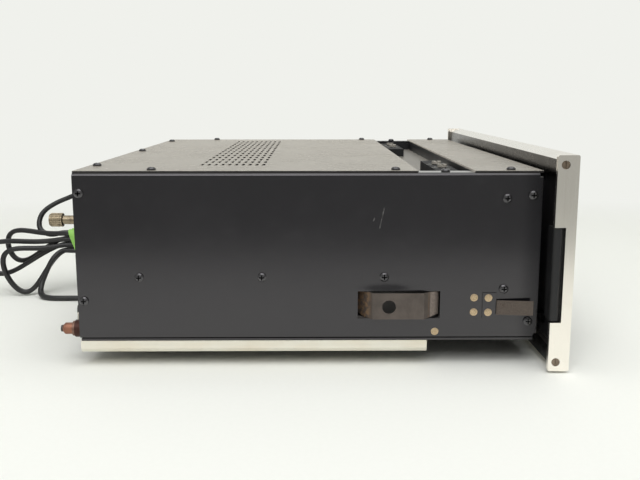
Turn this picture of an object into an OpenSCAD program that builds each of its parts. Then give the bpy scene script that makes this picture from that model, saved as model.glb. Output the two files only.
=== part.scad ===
// Slide-in stereo preamplifier: folded black chassis, aluminium-framed glass front,
// spring stop catches on both sides, and a mains lead tied in a hank behind it.
// The front faces -Y, +Z is up, and the feet stand on Z = 0.

/* [Chassis] */
// Width of the chassis across its side panels
chassis_w = 375; // [350:1:390]
// Depth of the chassis, rear edge to front bend
chassis_d = 299; // [272:1:330]
// Height of the chassis, bottom plate to top cover
chassis_h = 111; // [108:1:125]
// Thickness of the folded sheet
sheet = 1.5; // [1.2:0.1:1.8]
// Thickness of the top cover
cover_t = 1.2; // [1:0.1:1.5]
// Outer radius of the sheet's bends
bend_r = 3; // [2.5:0.1:3.5]
// Width of the side panels' folded flanges
flange = 14; // [12:0.5:16]
// Height of the feet under the bottom plate
foot_h = 17.5; // [17:0.5:24]
// Radius of a foot where it meets the bottom plate
foot_r = 11; // [8:0.5:14]

/* [Top] */
// Columns of vent slots, counted along the depth
vent_columns = 10; // [4:1:11]
// Rows of vent slots, counted along the width
vent_rows = 14; // [6:1:14]
// Width of a vent slot
vent_slot_w = 2.2; // [1.5:0.1:2.8]
// Length of a vent slot
vent_slot_l = 13; // [8:0.5:16]
// Distance between vent columns
vent_column_pitch = 4.7; // [4:0.1:5]
// Distance between vent rows
vent_row_pitch = 21.5; // [18:0.5:22]
// Where the first vent column lies, forward of the rear edge
vent_start = 76; // [60:1:90]
// Distance of the trim well from the front bend
well_in = 44; // [41:1:48]
// Length of the trim well along the depth
well_l = 36; // [34:0.5:38]
// Depth of the trim well below the cover
well_depth = 10; // [9:0.5:12]
// Length of a trim block across the width
block_l = 90; // [80:1:100]

/* [Front panel] */
// How far the front panel stands out beside the chassis, on either side
panel_overhang = 15.7; // [14.5:0.1:22]
// Height of the front panel
panel_h = 138; // [136:1:144]
// Height of the panel's lower edge above the floor
panel_lift = 1.5; // [1:0.5:3]
// Gap between the chassis and the end caps
panel_gap = 3; // [2:0.5:5]
// Depth of an end cap
cap_d = 13.5; // [13:0.5:16]
// Thickness of an end cap
cap_t = 3.5; // [3:0.1:4]
// Thickness of the front glass
glass_t = 3; // [2.5:0.1:3.5]
// Thickness of the plate behind the glass
backplate_t = 1.5; // [1.2:0.1:2]
// Height of the notch in an end cap's rear edge
notch_h = 61; // [50:1:66]
// Depth of that notch
notch_d = 7; // [6:0.5:7.5]

/* [Controls] */
// Radius of the two large knobs
big_knob_r = 20; // [16:0.5:22]
// Reach of the large knobs in front of the panel
big_knob_reach = 18; // [14:0.5:20]
// Radius of the four small knobs
small_knob_r = 11; // [9:0.5:13]
// Reach of the small knobs in front of the panel
small_knob_reach = 14; // [11:0.5:16]
// Radius of the control shafts
shaft_r = 3; // [2.5:0.1:3.2]
// Running clearance round a shaft
shaft_play = 0.06; // [0.03:0.01:0.1]
// Distance between the small knobs
knob_pitch = 36; // [32:1:40]
// Width of a push button
button_w = 16; // [12:0.5:20]
// Height of a push button
button_h = 8; // [6:0.5:9]
// Travel of a push button
button_travel = 3.5; // [2:0.5:4]

/* [Slide fittings] */
// Length of a guide rail
rail_l = 226; // [200:1:228]
// Height of a guide rail
rail_h = 7.5; // [6:0.5:9]
// Width of a guide rail
rail_w = 12; // [10:0.5:16]
// Distance of a catch window from the front bend
window_in = 64.5; // [61.5:0.5:67.5]
// Length of a catch window
window_l = 53.5; // [52:0.5:56]
// Height of a catch window
window_h = 18; // [17:0.5:20]
// How far a catch bulges out of its window
catch_bulge = 4; // [3:0.5:5]

/* [Rear] */
// Outer radius of a phono jack's barrel
jack_r = 3.8; // [3.7:0.1:4.2]
// Reach of a phono jack behind the rear panel
jack_reach = 14.5; // [13:0.5:16]
// Distance between phono jack columns
jack_pitch = 24; // [18:0.5:26]
// Radius of the ground post's thumb nut
nut_r = 4.5; // [4:0.1:6]
// Length of the thumb nut
nut_l = 8.4; // [7.5:0.1:10]
// Reach of the ground post behind the rear edge
post_reach = 20.5; // [18:0.5:24]

/* [Mains lead] */
// Diameter of the mains lead
cord_d = 4.4; // [4:0.1:4.5]
// Distance between strands where the hank is tied
strand_pitch = 5.1; // [5:0.05:5.4]

/* [Hidden] */
$fn = 48;
// The joints of folded and slid-together pieces
fit = 0.2;
// How far a cutter runs past the face it cuts
past = 1;

// Frame: distances along the depth are measured forward of the chassis' rear edge
front_reach = chassis_d + panel_gap + cap_d + big_knob_reach;
y_rear = (front_reach - post_reach) / 2;
y_front = y_rear - chassis_d;
y_panel = y_front - panel_gap - cap_d;
z_base = foot_h;
z_side = z_base + sheet;
z_cover = z_base + chassis_h - cover_t;
side_h = z_cover - z_side;
half_w = chassis_w / 2;
panel_w = chassis_w + 2 * panel_overhang;
function y_at(s) = y_rear - s;
well_start = chassis_d - well_in - well_l;
window_end = chassis_d - window_in;
window_start = window_end - window_l;

// Case screws: black, with a cross recess
screw_r = 1.5;
screw_head_r = 2.9;
screw_head_h = 2;
screw_l = 5;
cross_l = 3.4;
cross_w = 0.8;
front_screw_s = chassis_d - 7;
inner_screw_s = chassis_d - 23.5;
side_screws = [[4, chassis_h - 14], [4, 27], [40, 42.5], [119, 42.5], [198, 42.5],
               [inner_screw_s, chassis_h - 17.5], [front_screw_s, chassis_h - 15.5],
               [inner_screw_s, 34.5], [front_screw_s, 13]];
well_row = 2;
top_screw_rows = [49, well_start - 14, well_start + well_l / 2, chassis_d - 20];
top_screw_in = 7.5;
rear_screw_in = 6;
rear_screw_x = half_w - 40;

// Brass rivets of the side springs, and the brass screw beside each rail
spring_s = chassis_d - 28;
panel_rivet_s = spring_s - 14.4;
plate_rivet_s = spring_s - 5.2;
rivet_places = [[panel_rivet_s, 28.6], [plate_rivet_s, 28.6], [panel_rivet_s, 19], [plate_rivet_s, 19]];
rivet_r = 2.5;
rivet_h = 1.3;
brass_screw = [rail_l + 5.5, 6];

// Front panel, measured back from its front plane and up from its lower edge
glass_set = 1;
glass_back = glass_set + glass_t;
plate_back = glass_back + backplate_t;
trim_d = cap_d - 2.5;
trim_h = 14;
trim_lip = 7;
trim_slope = 3.3;
trim_groove = 4;
z_panel = panel_lift;
notch_z = z_panel + 32;
cap_screw_in = 8.6;
cap_screw_z = 6;
sub_front = panel_gap + cap_d + sheet;
sub_back = sub_front + sheet;
standoff_r = 5;
standoff_z = [34, 112];
standoff_x = half_w - 45;

// Controls: places across the panel and above the floor
big_knob_in = 75.5;
big_knob_x = half_w - big_knob_in;
knob_z = 84;
small_knob_x = [for (i = [-1.5:1:1.5]) i * knob_pitch];
button_z = 40;
button_x = small_knob_x;
lock_in = 29.5;
lock_x = half_w - lock_in;
lock_z = 26;
lock_w = 12;
lock_h = 7;
lock_travel = 3;
phones_x = -big_knob_x;
phones_z = 36;
phones_bore_r = 3.2;
phones_wall = 2;
phones_nut_r = 7.5;
phones_nut_t = 2.5;
phones_body_r = 9;
phones_body_l = 18;
phones_bore_l = 14;
button_play = 0.4;
button_reach = 4.5;
button_back = plate_back + 1.5;
stem_w = 5;
stem_h = 4;
stem_in = 8;
bank_h = 18;
bank_l = 22;
pocket_l = stem_in + button_travel + 2.5;
bush_r = 4.7;
bush_l = 5;
hex_r = 7;
hex_t = 2.2;
pot_r = 12;
pot_l = 14;
switch_r = 17;
switch_l = 26;
knob_skirt = 3;
flutes = 24;

// Catches and side springs
catch_mid_z = z_base + 24;
catch_h = window_h - 0.8;
catch_t = 1;
catch_hole_s = window_start + 20;
catch_hole_r = 4.4;
pin_r = 1.5;
pin_in = 9;
pin_s = window_start - 3;
pin_x = -half_w + pin_in;
eye_r = 3;
pocket_t = 1.2;
pocket_in = 13;
// The catch's middle line: a distance along the side, and how far it stands out of the side panel
catch_line = [[pin_s, -pin_in], [window_start + 0.5, -pin_in + 0.7], [window_start + 9.5, catch_bulge - 0.5],
              [window_start + 10.3, catch_bulge], [window_end - 11, catch_bulge],
              [window_end - 6.9, catch_bulge - 3.2], [window_end - 1, catch_bulge - 7]];
spring_l = 23;
spring_h = 9.6;
spring_t = 0.7;
spring_mid_z = z_base + 22.5;
spring_lift = 0.8;
spring_root_r = 0.45;
spring_angle = 7;
plate_l = 9;
plate_h = 17;
plate_t = 0.8;
plate_mid_z = z_base + 23.5;

// Rear fittings
rear_inset = 0.5;
y_back = y_rear - rear_inset;
rear_flange = 14;
rear_corner_z = z_base + 5.2;
corner_jack = [-(half_w - 8), z_base + 6.5];
jack_rows = [z_base + 24, z_base + 44];
jack_columns = 8;
jack_first_x = -(half_w - 52);
jack_collar_in = rear_inset + 0.4;
jack_collar_r = 5.7;
jack_collar_t = 4;
jack_washer_r = 4.9;
jack_washer_t = 1.7;
jack_cut = 1.4;
jack_tip_r = 2.1;
jack_tip_l = 1.3;
jack_bore_r = 1.5;
jack_back_l = 8;
post_place = [-(half_w - 18), z_base + 77.4];
post_r = 2.9;
stud_r = 2;
relief_place = [37.5, z_base + 75];
relief_flange_r = 8;
relief_flange_t = 3;
relief_neck_r = 6;
relief_l = 28;
relief_tip_r = 3.6;

// Trim well
tray_in = flange + 1;
tray_floor_z = z_base + chassis_h - well_depth;
block_w = 15;
block_shift = 6;
block_h = well_depth - 3;
block_x = half_w - tray_in - 12 - block_l / 2;
trim_spread = 13;
trim_r = 2;
trim_top_r = 3.4;
trim_pot_r = 8;
trim_pot_l = 8;

// Hank: eight strands pass the waist in two columns, and seven lobes join them
waist = [12.5, y_rear + 64, z_base + 30];
lobe_rings = 20;
hank_sides = 6;
lead_sides = 8;
left_ease = 12;
left_l = [60, 78, 59];
left_open = [26, 27, 38];
left_tilt = [13, 14, 26];
left_fan = 10.5;
right_ease = 30;
right_l = [96, 93, 90, 87];
right_open = 40;
right_turn = [80, 83, 86, 89];
right_drop = 37;
tie_w = 8;
tie_t = 1.4;

// Free stretches of the mains lead: x, distance behind the rear edge, and height,
// which is above the bottom plate for the lead and above the floor for the tail
lead_points = [[37.5, relief_l, 75], [37.5, 34, 75], [37.4, 47, 73.6], [36.9, 59, 70.9], [36, 70.6, 66.3],
               [34.5, 78, 63.3], [32, 86.6, 58.6], [29.3, 93.3, 52.1], [27, 95.2, 46], [25.4, 94.9, 41.7],
               [24, 93, 38.3], [22.4, 88.4, 35.8], [20.6, 82, 35], [18.6, 75.8, 36.2]];
tail_points = [[5.5, 76, 35.5], [3.5, 81, 27.5], [2, 85, 18.5], [-1, 87.5, 10], [-6.5, 86, 4.4],
               [-12, 79, 2.5], [-14, 69, 2.4], [-14, 58, 2.4], [-14, 46, 2.4], [-15.5, 35, 2.4], [-20.5, 27, 3],
               [-28, 23, 5.4], [-36, 22, 7.8], [-41, 22, 8], [-46, 22, 8]];
plug_l = 34;
plug_w = 24;
plug_h = 16;
plug_neck = 5;
plug_shoulder = 0.55;
blade = [16, 1.5, 6.3];
blade_spread = 6.35;

// Inside: the places of the feet and of what stands on the bottom plate
foot_side = 75.5;
foot_x = half_w - foot_side;
foot_in = 49.5;
core = [80, 40, 66];
bell = [54, 68, 42];
bell_lift = 12;
tab = [16, 40, 2];
core_in = 77.5;
core_x = half_w - core_in;
core_s = chassis_d / 2;
board = [200, 170, 1.6];
board_lift = 10;
board_in = 27.5;
post_in = 8;
board_post_r = 3;
can_r = 14;
can_l = 55;
can_pitch = 35;
can_s = 60;

// Shared shapes

// The children as drawn for the left side, or mirrored for the right one
module on_side(side) {
    if (side < 0) children();
    else mirror([1, 0, 0]) children();
}

// A quarter of a bend in sheet, drawn round the bend's centre
module bend_quarter() {
    intersection() {
        difference() {
            circle(bend_r);
            circle(bend_r - sheet);
        }
        translate([-bend_r, -bend_r]) square(bend_r);
    }
}

// A side panel's section: its web stands along y, with a flange at either end
module channel_section(h) {
    translate([0, bend_r]) square([sheet, h - 2 * bend_r]);
    translate([bend_r, 0]) square([flange - bend_r, sheet]);
    translate([bend_r, h - sheet]) square([flange - bend_r, sheet]);
    translate([bend_r, bend_r]) bend_quarter();
    translate([bend_r, h - bend_r]) mirror([0, 1]) bend_quarter();
}

// A pan-head screw standing on z = 0, with a cross recess
module pan_screw() {
    difference() {
        rotate_extrude() polygon([[0, 0], [screw_head_r, 0], [screw_head_r, screw_head_h * 0.5],
                                  [screw_head_r * 0.72, screw_head_h * 0.88],
                                  [screw_head_r * 0.4, screw_head_h], [0, screw_head_h]]);
        for (turn = [0, 90]) rotate(turn) translate([-cross_l / 2, -cross_w / 2, screw_head_h - 1])
            cube([cross_l, cross_w, 1 + past]);
    }
    translate([0, 0, -screw_l]) cylinder(r = screw_r, h = screw_l);
}

// Its children at each side screw, the z axis pointing out of the side panel
module at_side_screws() {
    for (p = side_screws)
        translate([-half_w, y_at(p[0]), z_base + p[1]]) rotate([0, -90, 0]) children();
}

// Its children at each screw of the top, the z axis pointing up
module at_top_screws() {
    for (side = [-1, 1], s = top_screw_rows)
        translate([side * (half_w - top_screw_in), y_at(s), 0]) children();
}

// Its children at the three screws along the cover's rear edge
module at_rear_screws() {
    for (x = [-rear_screw_x, 0, rear_screw_x])
        translate([x, y_at(rear_screw_in), z_base + chassis_h]) children();
}

// A hole for a case screw, through everything under its head
module screw_hole() {
    translate([0, 0, -screw_l - past]) cylinder(r = screw_r + fit / 2, h = screw_l + 2 * past);
}

// Its children in the front panel's frame: x across, y up from the floor, z out of the panel
module on_front() {
    translate([0, y_panel, 0]) rotate([90, 0, 0]) children();
}

// A box in the front panel's frame, from depth a behind the front plane to depth b
module front_box(x, z, w, h, a, b) {
    on_front() translate([x - w / 2, z - h / 2, -b]) cube([w, h, b - a]);
}

// A round bar in the front panel's frame, from depth a behind the front plane to depth b
module front_bar(x, z, r, a, b) {
    on_front() translate([x, z, -b]) cylinder(r = r, h = b - a);
}

// The openings for the controls, cut from the plates between two depths
module control_holes(a, b, round_r, stem_only) {
    for (x = concat([-big_knob_x, big_knob_x], small_knob_x)) front_bar(x, knob_z, round_r, a, b);
    front_bar(phones_x, phones_z, phones_bore_r + phones_wall + fit, a, b);
    w = stem_only ? stem_w : button_w;
    h = stem_only ? stem_h : button_h;
    for (x = button_x) front_box(x, button_z, w + 2 * button_play, h + 2 * button_play, a, b);
    lw = stem_only ? stem_w : lock_w;
    lh = stem_only ? stem_h : lock_h;
    for (x = [-lock_x, lock_x]) front_box(x, lock_z, lw + 2 * button_play, lh + 2 * button_play, a, b);
}

// Chassis

// The left side panel: a channel with a folded front, a catch window and screw holes
module side_panel() {
    difference() {
        union() {
            translate([-half_w, y_rear, z_side]) rotate([90, 0, 0])
                linear_extrude(chassis_d - bend_r) channel_section(side_h);
            translate([-half_w, y_front, z_side + bend_r]) linear_extrude(side_h - 2 * bend_r) {
                translate([bend_r, bend_r]) bend_quarter();
                translate([bend_r, 0]) square([flange - bend_r, sheet]);
            }
        }
        translate([-half_w - past, y_at(window_end), catch_mid_z - window_h / 2])
            cube([sheet + 2 * past, window_l, window_h]);
        translate([-half_w + bend_r, y_at(rear_flange + 2), z_side - past])
            cube([flange, rear_flange + 2 + past, sheet + past + fit]);
        at_side_screws() screw_hole();
        for (s = top_screw_rows)
            translate([-half_w + top_screw_in, y_at(s), z_cover]) screw_hole();
        for (p = concat(rivet_places, [brass_screw]))
            translate([-half_w, y_at(p[0]), z_base + p[1]]) rotate([0, -90, 0]) screw_hole();
    }
}

module left_side_panel() { color("#2b2b2e") side_panel(); }

module right_side_panel() { color("#2b2b2e") on_side(1) side_panel(); }

// The flat plate under the side panels' lower flanges
module bottom_plate() {
    edge = 0.8;
    color("#262629") translate([-half_w + edge, y_front + bend_r, z_base])
        cube([chassis_w - 2 * edge, chassis_d - bend_r - edge, sheet]);
}

// The rear wall, with flanges to the cover and to both side panels
module rear_panel() {
    mid_w = half_w - flange - 1;
    corner_x = half_w - bend_r - 0.3;
    edge_x = half_w - sheet - 0.1;
    flange_top = z_cover - bend_r - 0.5;
    color("#2b2b2e") difference() {
        union() {
            translate([-mid_w, y_back - sheet, z_side]) cube([2 * mid_w, sheet, z_cover - z_side]);
            translate([-mid_w, y_back - rear_flange, z_cover - sheet]) cube([2 * mid_w, rear_flange, sheet]);
            translate([-corner_x, y_back - sheet, z_side]) cube([2 * corner_x, sheet, flange_top - z_side]);
            for (side = [-1, 1]) on_side(side) translate([-edge_x, y_back - rear_flange, rear_corner_z]) {
                cube([sheet, rear_flange, flange_top - rear_corner_z]);
                translate([0, rear_flange - sheet, 0])
                    cube([edge_x - mid_w, sheet, flange_top - rear_corner_z]);
            }
        }
        at_jacks() jack_body(jack_r + fit);
        translate([post_place[0], y_rear, post_place[1]]) rotate([90, 0, 0])
            cylinder(r = stud_r + fit, h = 3 * sheet, center = true);
        translate([relief_place[0], y_rear, relief_place[1]]) rotate([90, 0, 0])
            cylinder(r = relief_neck_r + fit, h = 4 * sheet, center = true);
        at_rear_screws() screw_hole();
        for (side = [-1, 1]) on_side(side) at_side_screws() screw_hole();
    }
}

// The flat wall behind the side panels' front folds, which carries the controls
module front_subpanel() {
    edge = bend_r + fit;
    rim = bend_r + 0.5;
    color("#3a3a3c") difference() {
        translate([-half_w + edge, y_front + sheet, z_side + rim])
            cube([chassis_w - 2 * edge, sheet, side_h - 2 * rim]);
        control_holes(sub_front - past, sub_back + past, bush_r + fit, true);
    }
}

// A slot with round ends, along x
module vent_slot() {
    run = vent_slot_l - vent_slot_w;
    square([run, vent_slot_w], center = true);
    for (end = [-1, 1]) translate([end * run / 2, 0]) circle(d = vent_slot_w, $fn = 24);
}

// The main cover, with the field of vent slots
module top_cover() {
    edge = 2;
    color("#2b2b2e") difference() {
        translate([0, 0, z_cover]) linear_extrude(cover_t) difference() {
            translate([-half_w + edge, y_at(well_start)]) square([chassis_w - 2 * edge, well_start]);
            for (i = [0:vent_columns - 1], j = [0:vent_rows - 1])
                translate([
                    (j - (vent_rows - 1) / 2) * vent_row_pitch,
                    y_at(vent_start + i * vent_column_pitch)
                ])
                    vent_slot();
        }
        at_rear_screws() screw_hole();
        translate([0, 0, z_base + chassis_h]) at_top_screws() screw_hole();
    }
}

// The strip between the trim well and the front panel
module top_front_strip() {
    edge = 2;
    back = well_start + well_l;
    color("#2b2b2e") difference() {
        translate([-half_w + edge, y_front + 0.5, z_cover])
            cube([chassis_w - 2 * edge, chassis_d - back - 0.5, cover_t]);
        translate([0, 0, z_base + chassis_h]) at_top_screws() screw_hole();
    }
}

// Trim well

// A block's centre line along the depth: the left one lies before the well's middle, the right one behind it
function block_y(side) = y_at(well_start + well_l / 2) + side * block_shift;

// Its children at the four trimmers, on their blocks' centre lines
module at_trims(which) {
    for (i = which) {
        side = i < 2 ? -1 : 1;
        inner = i % 2 == 0 ? -1 : 1;
        translate([side * block_x + inner * trim_spread, block_y(side), 0]) children();
    }
}

// The recessed tray: a hat section, with tabs to the side panels' flanges
module trim_tray() {
    lip = 11;
    in_x = half_w - tray_in;
    tab_z = z_cover - sheet - cover_t;
    y_a = y_at(well_start + well_l);
    floor_z = tray_floor_z - cover_t;
    color("#303033") difference() {
        union() {
            translate([-in_x, y_a - lip, z_cover - cover_t]) cube([2 * in_x, lip, cover_t]);
            translate([-in_x, y_at(well_start), z_cover - cover_t]) cube([2 * in_x, lip, cover_t]);
            translate([-in_x, y_a - cover_t, floor_z]) cube([2 * in_x, cover_t, z_cover - floor_z]);
            translate([-in_x, y_at(well_start), floor_z]) cube([2 * in_x, cover_t, z_cover - floor_z]);
            translate([-in_x, y_a, floor_z]) cube([2 * in_x, well_l, cover_t]);
            for (side = [-1, 1]) on_side(side) {
                translate([-in_x, y_a, floor_z]) cube([cover_t, well_l, tab_z + cover_t - floor_z]);
                translate([-half_w + bend_r, y_a + 8, tab_z])
                    cube([tray_in - bend_r + cover_t, well_l - 16, cover_t]);
            }
        }
        translate([0, 0, z_cover]) at_top_screws() screw_hole();
        translate([0, 0, floor_z]) at_trims([0:3])
            translate([0, 0, -past]) cylinder(r = trim_r + fit, h = cover_t + 2 * past);
    }
}

// The two raised blocks that carry the trimmers' slotted tips
module trim_blocks() {
    color("#1d1d1f") difference() {
        for (side = [-1, 1])
            translate([side * block_x - block_l / 2, block_y(side) - block_w / 2, tray_floor_z])
                cube([block_l, block_w, block_h]);
        translate([0, 0, tray_floor_z]) at_trims([0:3])
            translate([0, 0, -past]) cylinder(r = trim_r + shaft_play, h = block_h + 2 * past);
    }
}

// The trimmers' bodies under the tray
module trim_pots() {
    top = tray_floor_z - cover_t;
    color("#6d6a5e") difference() {
        translate([0, 0, top - trim_pot_l]) at_trims([0:3]) cylinder(r = trim_pot_r, h = trim_pot_l);
        translate([0, 0, top - trim_pot_l + 2]) at_trims([0:3])
            cylinder(r = trim_r + shaft_play, h = trim_pot_l);
    }
}

// One trimmer: a shaft with a slotted round tip
module trimmer(i) {
    foot_z = tray_floor_z - cover_t - trim_pot_l + 2.2;
    tip_z = tray_floor_z + block_h + 0.4;
    tip_h = 2;
    color("#b8b5aa") at_trims([i]) difference() {
        union() {
            translate([0, 0, foot_z]) cylinder(r = trim_r, h = tip_z - foot_z);
            translate([0, 0, tip_z]) cylinder(r = trim_top_r, h = tip_h);
        }
        translate([-trim_top_r - past, -0.5, tip_z + tip_h - 1.2]) cube([2 * (trim_top_r + past), 1, 2]);
    }
}

// Feet, rails and fasteners

module feet() {
    color("#1c1c1e") for (x = [-foot_x, foot_x], s = [foot_in, chassis_d - foot_in])
        translate([x, y_at(s), 0]) rotate_extrude()
            polygon([[0, 0], [foot_r - 2.5, 0], [foot_r - 1.5, 1], [foot_r, foot_h], [0, foot_h]]);
}

// A cream rail under each long edge, with a chamfer along its lower outer corner
module guide_rails() {
    chamfer = 1.6;
    color("#e1dfcd") for (side = [-1, 1]) on_side(side)
        translate([-half_w, y_at(0.5), z_base]) rotate([90, 0, 0]) linear_extrude(rail_l)
            polygon([[0, 0], [rail_w, 0], [rail_w, -rail_h], [chamfer, -rail_h], [0, -rail_h + 2.4]]);
}

module case_screws() {
    color("#151516") {
        for (side = [-1, 1]) on_side(side) at_side_screws() pan_screw();
        at_rear_screws() pan_screw();
        for (side = [-1, 1], i = [0:len(top_screw_rows) - 1]) {
            translate([side * (half_w - top_screw_in), y_at(top_screw_rows[i]),
                       i == well_row ? z_cover : z_base + chassis_h]) pan_screw();
        }
    }
}

// A round brass head on z = 0, with a shank through the side panel
module brass_head() {
    translate([0, 0, -sheet - 0.5]) cylinder(r = screw_r, h = sheet + 0.5);
    rotate_extrude() polygon([[0, 0], [rivet_r, 0], [rivet_r * 0.86, rivet_h * 0.6],
                              [rivet_r * 0.5, rivet_h], [0, rivet_h]]);
}

module brass_fasteners() {
    color("#bea57d") for (side = [-1, 1]) on_side(side) {
        for (p = rivet_places)
            translate([-half_w - (p[0] == plate_rivet_s ? plate_t : 0), y_at(p[0]), z_base + p[1]])
                rotate([0, -90, 0]) brass_head();
        translate([-half_w, y_at(brass_screw[0]), z_base + brass_screw[1]]) rotate([0, -90, 0]) difference() {
            brass_head();
            translate([-rivet_r - past, -cross_w / 2, rivet_h - 0.7])
                cube([2 * (rivet_r + past), cross_w, past]);
        }
    }
}

// The riveted root of each side spring
module spring_plates() {
    color("#2b2a2a") for (side = [-1, 1]) on_side(side) difference() {
        translate([-half_w - plate_t, y_at(spring_s), plate_mid_z - plate_h / 2])
            cube([plate_t, plate_l, plate_h]);
        for (p = rivet_places)
            translate([-half_w, y_at(p[0]), z_base + p[1]]) rotate([0, -90, 0]) screw_hole();
    }
}

// The tongue of the left side spring, which stands off the panel toward the front from its rolled root
module side_spring() {
    root = [-half_w - plate_t - spring_lift, y_at(spring_s + 0.3), spring_mid_z - spring_h / 2];
    color("#6a6058") translate(root) {
        cylinder(r = spring_root_r, h = spring_h);
        rotate(-spring_angle) translate([-spring_t / 2, -spring_l, 0]) cube([spring_t, spring_l, spring_h]);
    }
}

// Stop catches

// Square to a line of points at its point i
function strip_normal(line, i) =
    let (a = line[max(0, i - 1)], b = line[min(len(line) - 1, i + 1)], d = (b - a) / norm(b - a))
    [-d[1], d[0]];

// The catch: an eye on the pin, a ramp, a bulging strip with a round hole, and a bent-in end
module stop_catch() {
    line = [for (p = catch_line) [-half_w - p[1], y_at(p[0])]];
    last = len(line) - 1;
    side_in = [for (i = [0:last]) line[i] + catch_t / 2 * strip_normal(line, i)];
    side_out = [for (i = [last:-1:0]) line[i] - catch_t / 2 * strip_normal(line, i)];
    color("#6f625a") difference() {
        translate([0, 0, catch_mid_z - catch_h / 2]) union() {
            linear_extrude(catch_h) polygon(concat(side_in, side_out));
            translate([pin_x, y_at(pin_s), 0]) cylinder(r = eye_r, h = catch_h);
        }
        translate([pin_x, y_at(pin_s), catch_mid_z - catch_h / 2 - past])
            cylinder(r = pin_r + shaft_play, h = catch_h + 2 * past);
        translate([-half_w, y_at(catch_hole_s), catch_mid_z - 0.4]) rotate([0, -90, 0])
            cylinder(r = catch_hole_r, h = 2 * catch_bulge);
    }
}

// The pocket behind each catch window, which holds the catch's pin
module catch_brackets() {
    inner_h = catch_h + 0.8;
    back = y_at(pin_s) + eye_r + pocket_t;
    run = back - y_at(window_end + 2);
    color("#4a4a4c") for (side = [-1, 1]) on_side(side) {
        for (up = [-1, 1])
            translate([-half_w + sheet, back - run, catch_mid_z + up * (inner_h + pocket_t) / 2 - pocket_t / 2])
                cube([pocket_in + pocket_t - sheet, run, pocket_t]);
        translate([-half_w + pocket_in, back - run, catch_mid_z - inner_h / 2]) cube([pocket_t, run, inner_h]);
        translate([pin_x, y_at(pin_s), catch_mid_z - inner_h / 2]) cylinder(r = pin_r, h = inner_h);
    }
}

// Front panel

// The section of a trim rail: depth behind the front plane along x, height below the edge along -y
module trim_section() {
    polygon([[0.6, 0], [0, -0.6], [0, -trim_lip], [glass_set, -trim_lip], [glass_set, -trim_groove],
             [plate_back + 0.1, -trim_groove], [plate_back + 0.1, -trim_h], [trim_d, -trim_h],
             [trim_d, -trim_slope]]);
}

// A trim rail with its outer edge along the panel's upper edge
module trim_rail() {
    l = panel_w - 2 * cap_t;
    difference() {
        translate([-l / 2, y_panel, z_panel + panel_h]) rotate([90, 0, 90]) linear_extrude(l) trim_section();
        for (side = [-1, 1])
            translate([side * l / 2, y_panel + cap_screw_in, z_panel + panel_h - cap_screw_z])
                rotate([0, 90, 0])
                cylinder(r = screw_r + fit / 2, h = 20, center = true);
    }
}

module top_trim() { color("#c9c8c4") trim_rail(); }

module bottom_trim() {
    color("#c9c8c4") translate([0, 0, 2 * z_panel + panel_h]) mirror([0, 0, 1]) trim_rail();
}

// The left end cap: a plate with a notched rear edge and two countersunk screws
module end_cap() {
    round_r = 1.2;
    difference() {
        translate([-panel_w / 2, 0, 0]) rotate([90, 0, 90]) linear_extrude(cap_t) difference() {
            translate([y_panel, z_panel]) cap_outline(round_r);
            translate([y_panel + cap_d - notch_d, notch_z]) square([notch_d + past, notch_h]);
        }
        for (z = [z_panel + cap_screw_z, z_panel + panel_h - cap_screw_z])
            translate([-panel_w / 2, y_panel + cap_screw_in, z]) rotate([0, 90, 0]) {
                translate([0, 0, -past]) cylinder(r = screw_r + fit / 2, h = cap_t + 2 * past);
                translate([0, 0, -past]) cylinder(r = screw_head_r - 0.2, h = past + 2);
            }
    }
}

// The end cap's outline with round corners
module cap_outline(r) {
    translate([r, 0]) square([cap_d - 2 * r, panel_h]);
    translate([0, r]) square([cap_d, panel_h - 2 * r]);
    for (y = [r, cap_d - r], z = [r, panel_h - r]) translate([y, z]) circle(r);
}

module left_end_cap() { color("#bdbcb8") end_cap(); }

module right_end_cap() { color("#bdbcb8") on_side(1) end_cap(); }

// Slotted screws sunk in the end caps
module end_cap_screws() {
    head_r = screw_head_r - 0.4;
    color("#4b3d35") for (side = [-1, 1]) on_side(side)
        for (z = [z_panel + cap_screw_z, z_panel + panel_h - cap_screw_z])
            translate([-panel_w / 2 + 0.5, y_panel + cap_screw_in, z]) rotate([0, 90, 0]) {
                difference() {
                    cylinder(r = head_r, h = 1.5);
                    translate([-head_r - past, -cross_w / 2, -past])
                        cube([2 * (head_r + past), cross_w, past + 0.7]);
                }
                translate([0, 0, 1.5]) cylinder(r = screw_r, h = cap_t + 4);
            }
}

module front_glass() {
    w = panel_w - 2 * cap_t;
    edge = trim_groove + 0.1;
    color("#0f1012") difference() {
        front_box(0, z_panel + panel_h / 2, w, panel_h - 2 * edge, glass_set, glass_back);
        control_holes(-past, plate_back, bush_r + 1, false);
    }
}

// The steel plate behind the glass, on standoffs from the subpanel
module panel_backplate() {
    w = panel_w - 2 * cap_t;
    edge = trim_groove + 0.1;
    color("#232325") {
        difference() {
            front_box(0, z_panel + panel_h / 2, w, panel_h - 2 * edge, glass_back, plate_back);
            control_holes(glass_back - past, plate_back + past, bush_r + 1, false);
        }
        for (x = [-standoff_x, standoff_x], z = standoff_z)
            front_bar(x, z, standoff_r, plate_back, sub_front);
    }
}

// A black bar in each end cap's notch, with a half-round outer face, on a foot from the backplate
module lock_bars() {
    gap = 0.4;
    low_gap = 1;
    foot_l = 9;
    bar_r = (notch_d - gap) / 2;
    axis_x = bar_r + 0.8 - panel_w / 2;
    inner_x = cap_t + 10 - panel_w / 2;
    front = y_panel + cap_d - notch_d + gap;
    color("#111113") for (side = [-1, 1]) on_side(side)
        translate([0, 0, notch_z + low_gap]) linear_extrude(notch_h - gap - low_gap) {
            translate([axis_x, front]) square([inner_x - axis_x, 2 * bar_r]);
            translate([axis_x, front + bar_r]) circle(bar_r);
            translate([cap_t + 0.3 - panel_w / 2, y_panel + plate_back])
                square([foot_l, front - y_panel - plate_back + past]);
        }
}

// Controls

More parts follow.
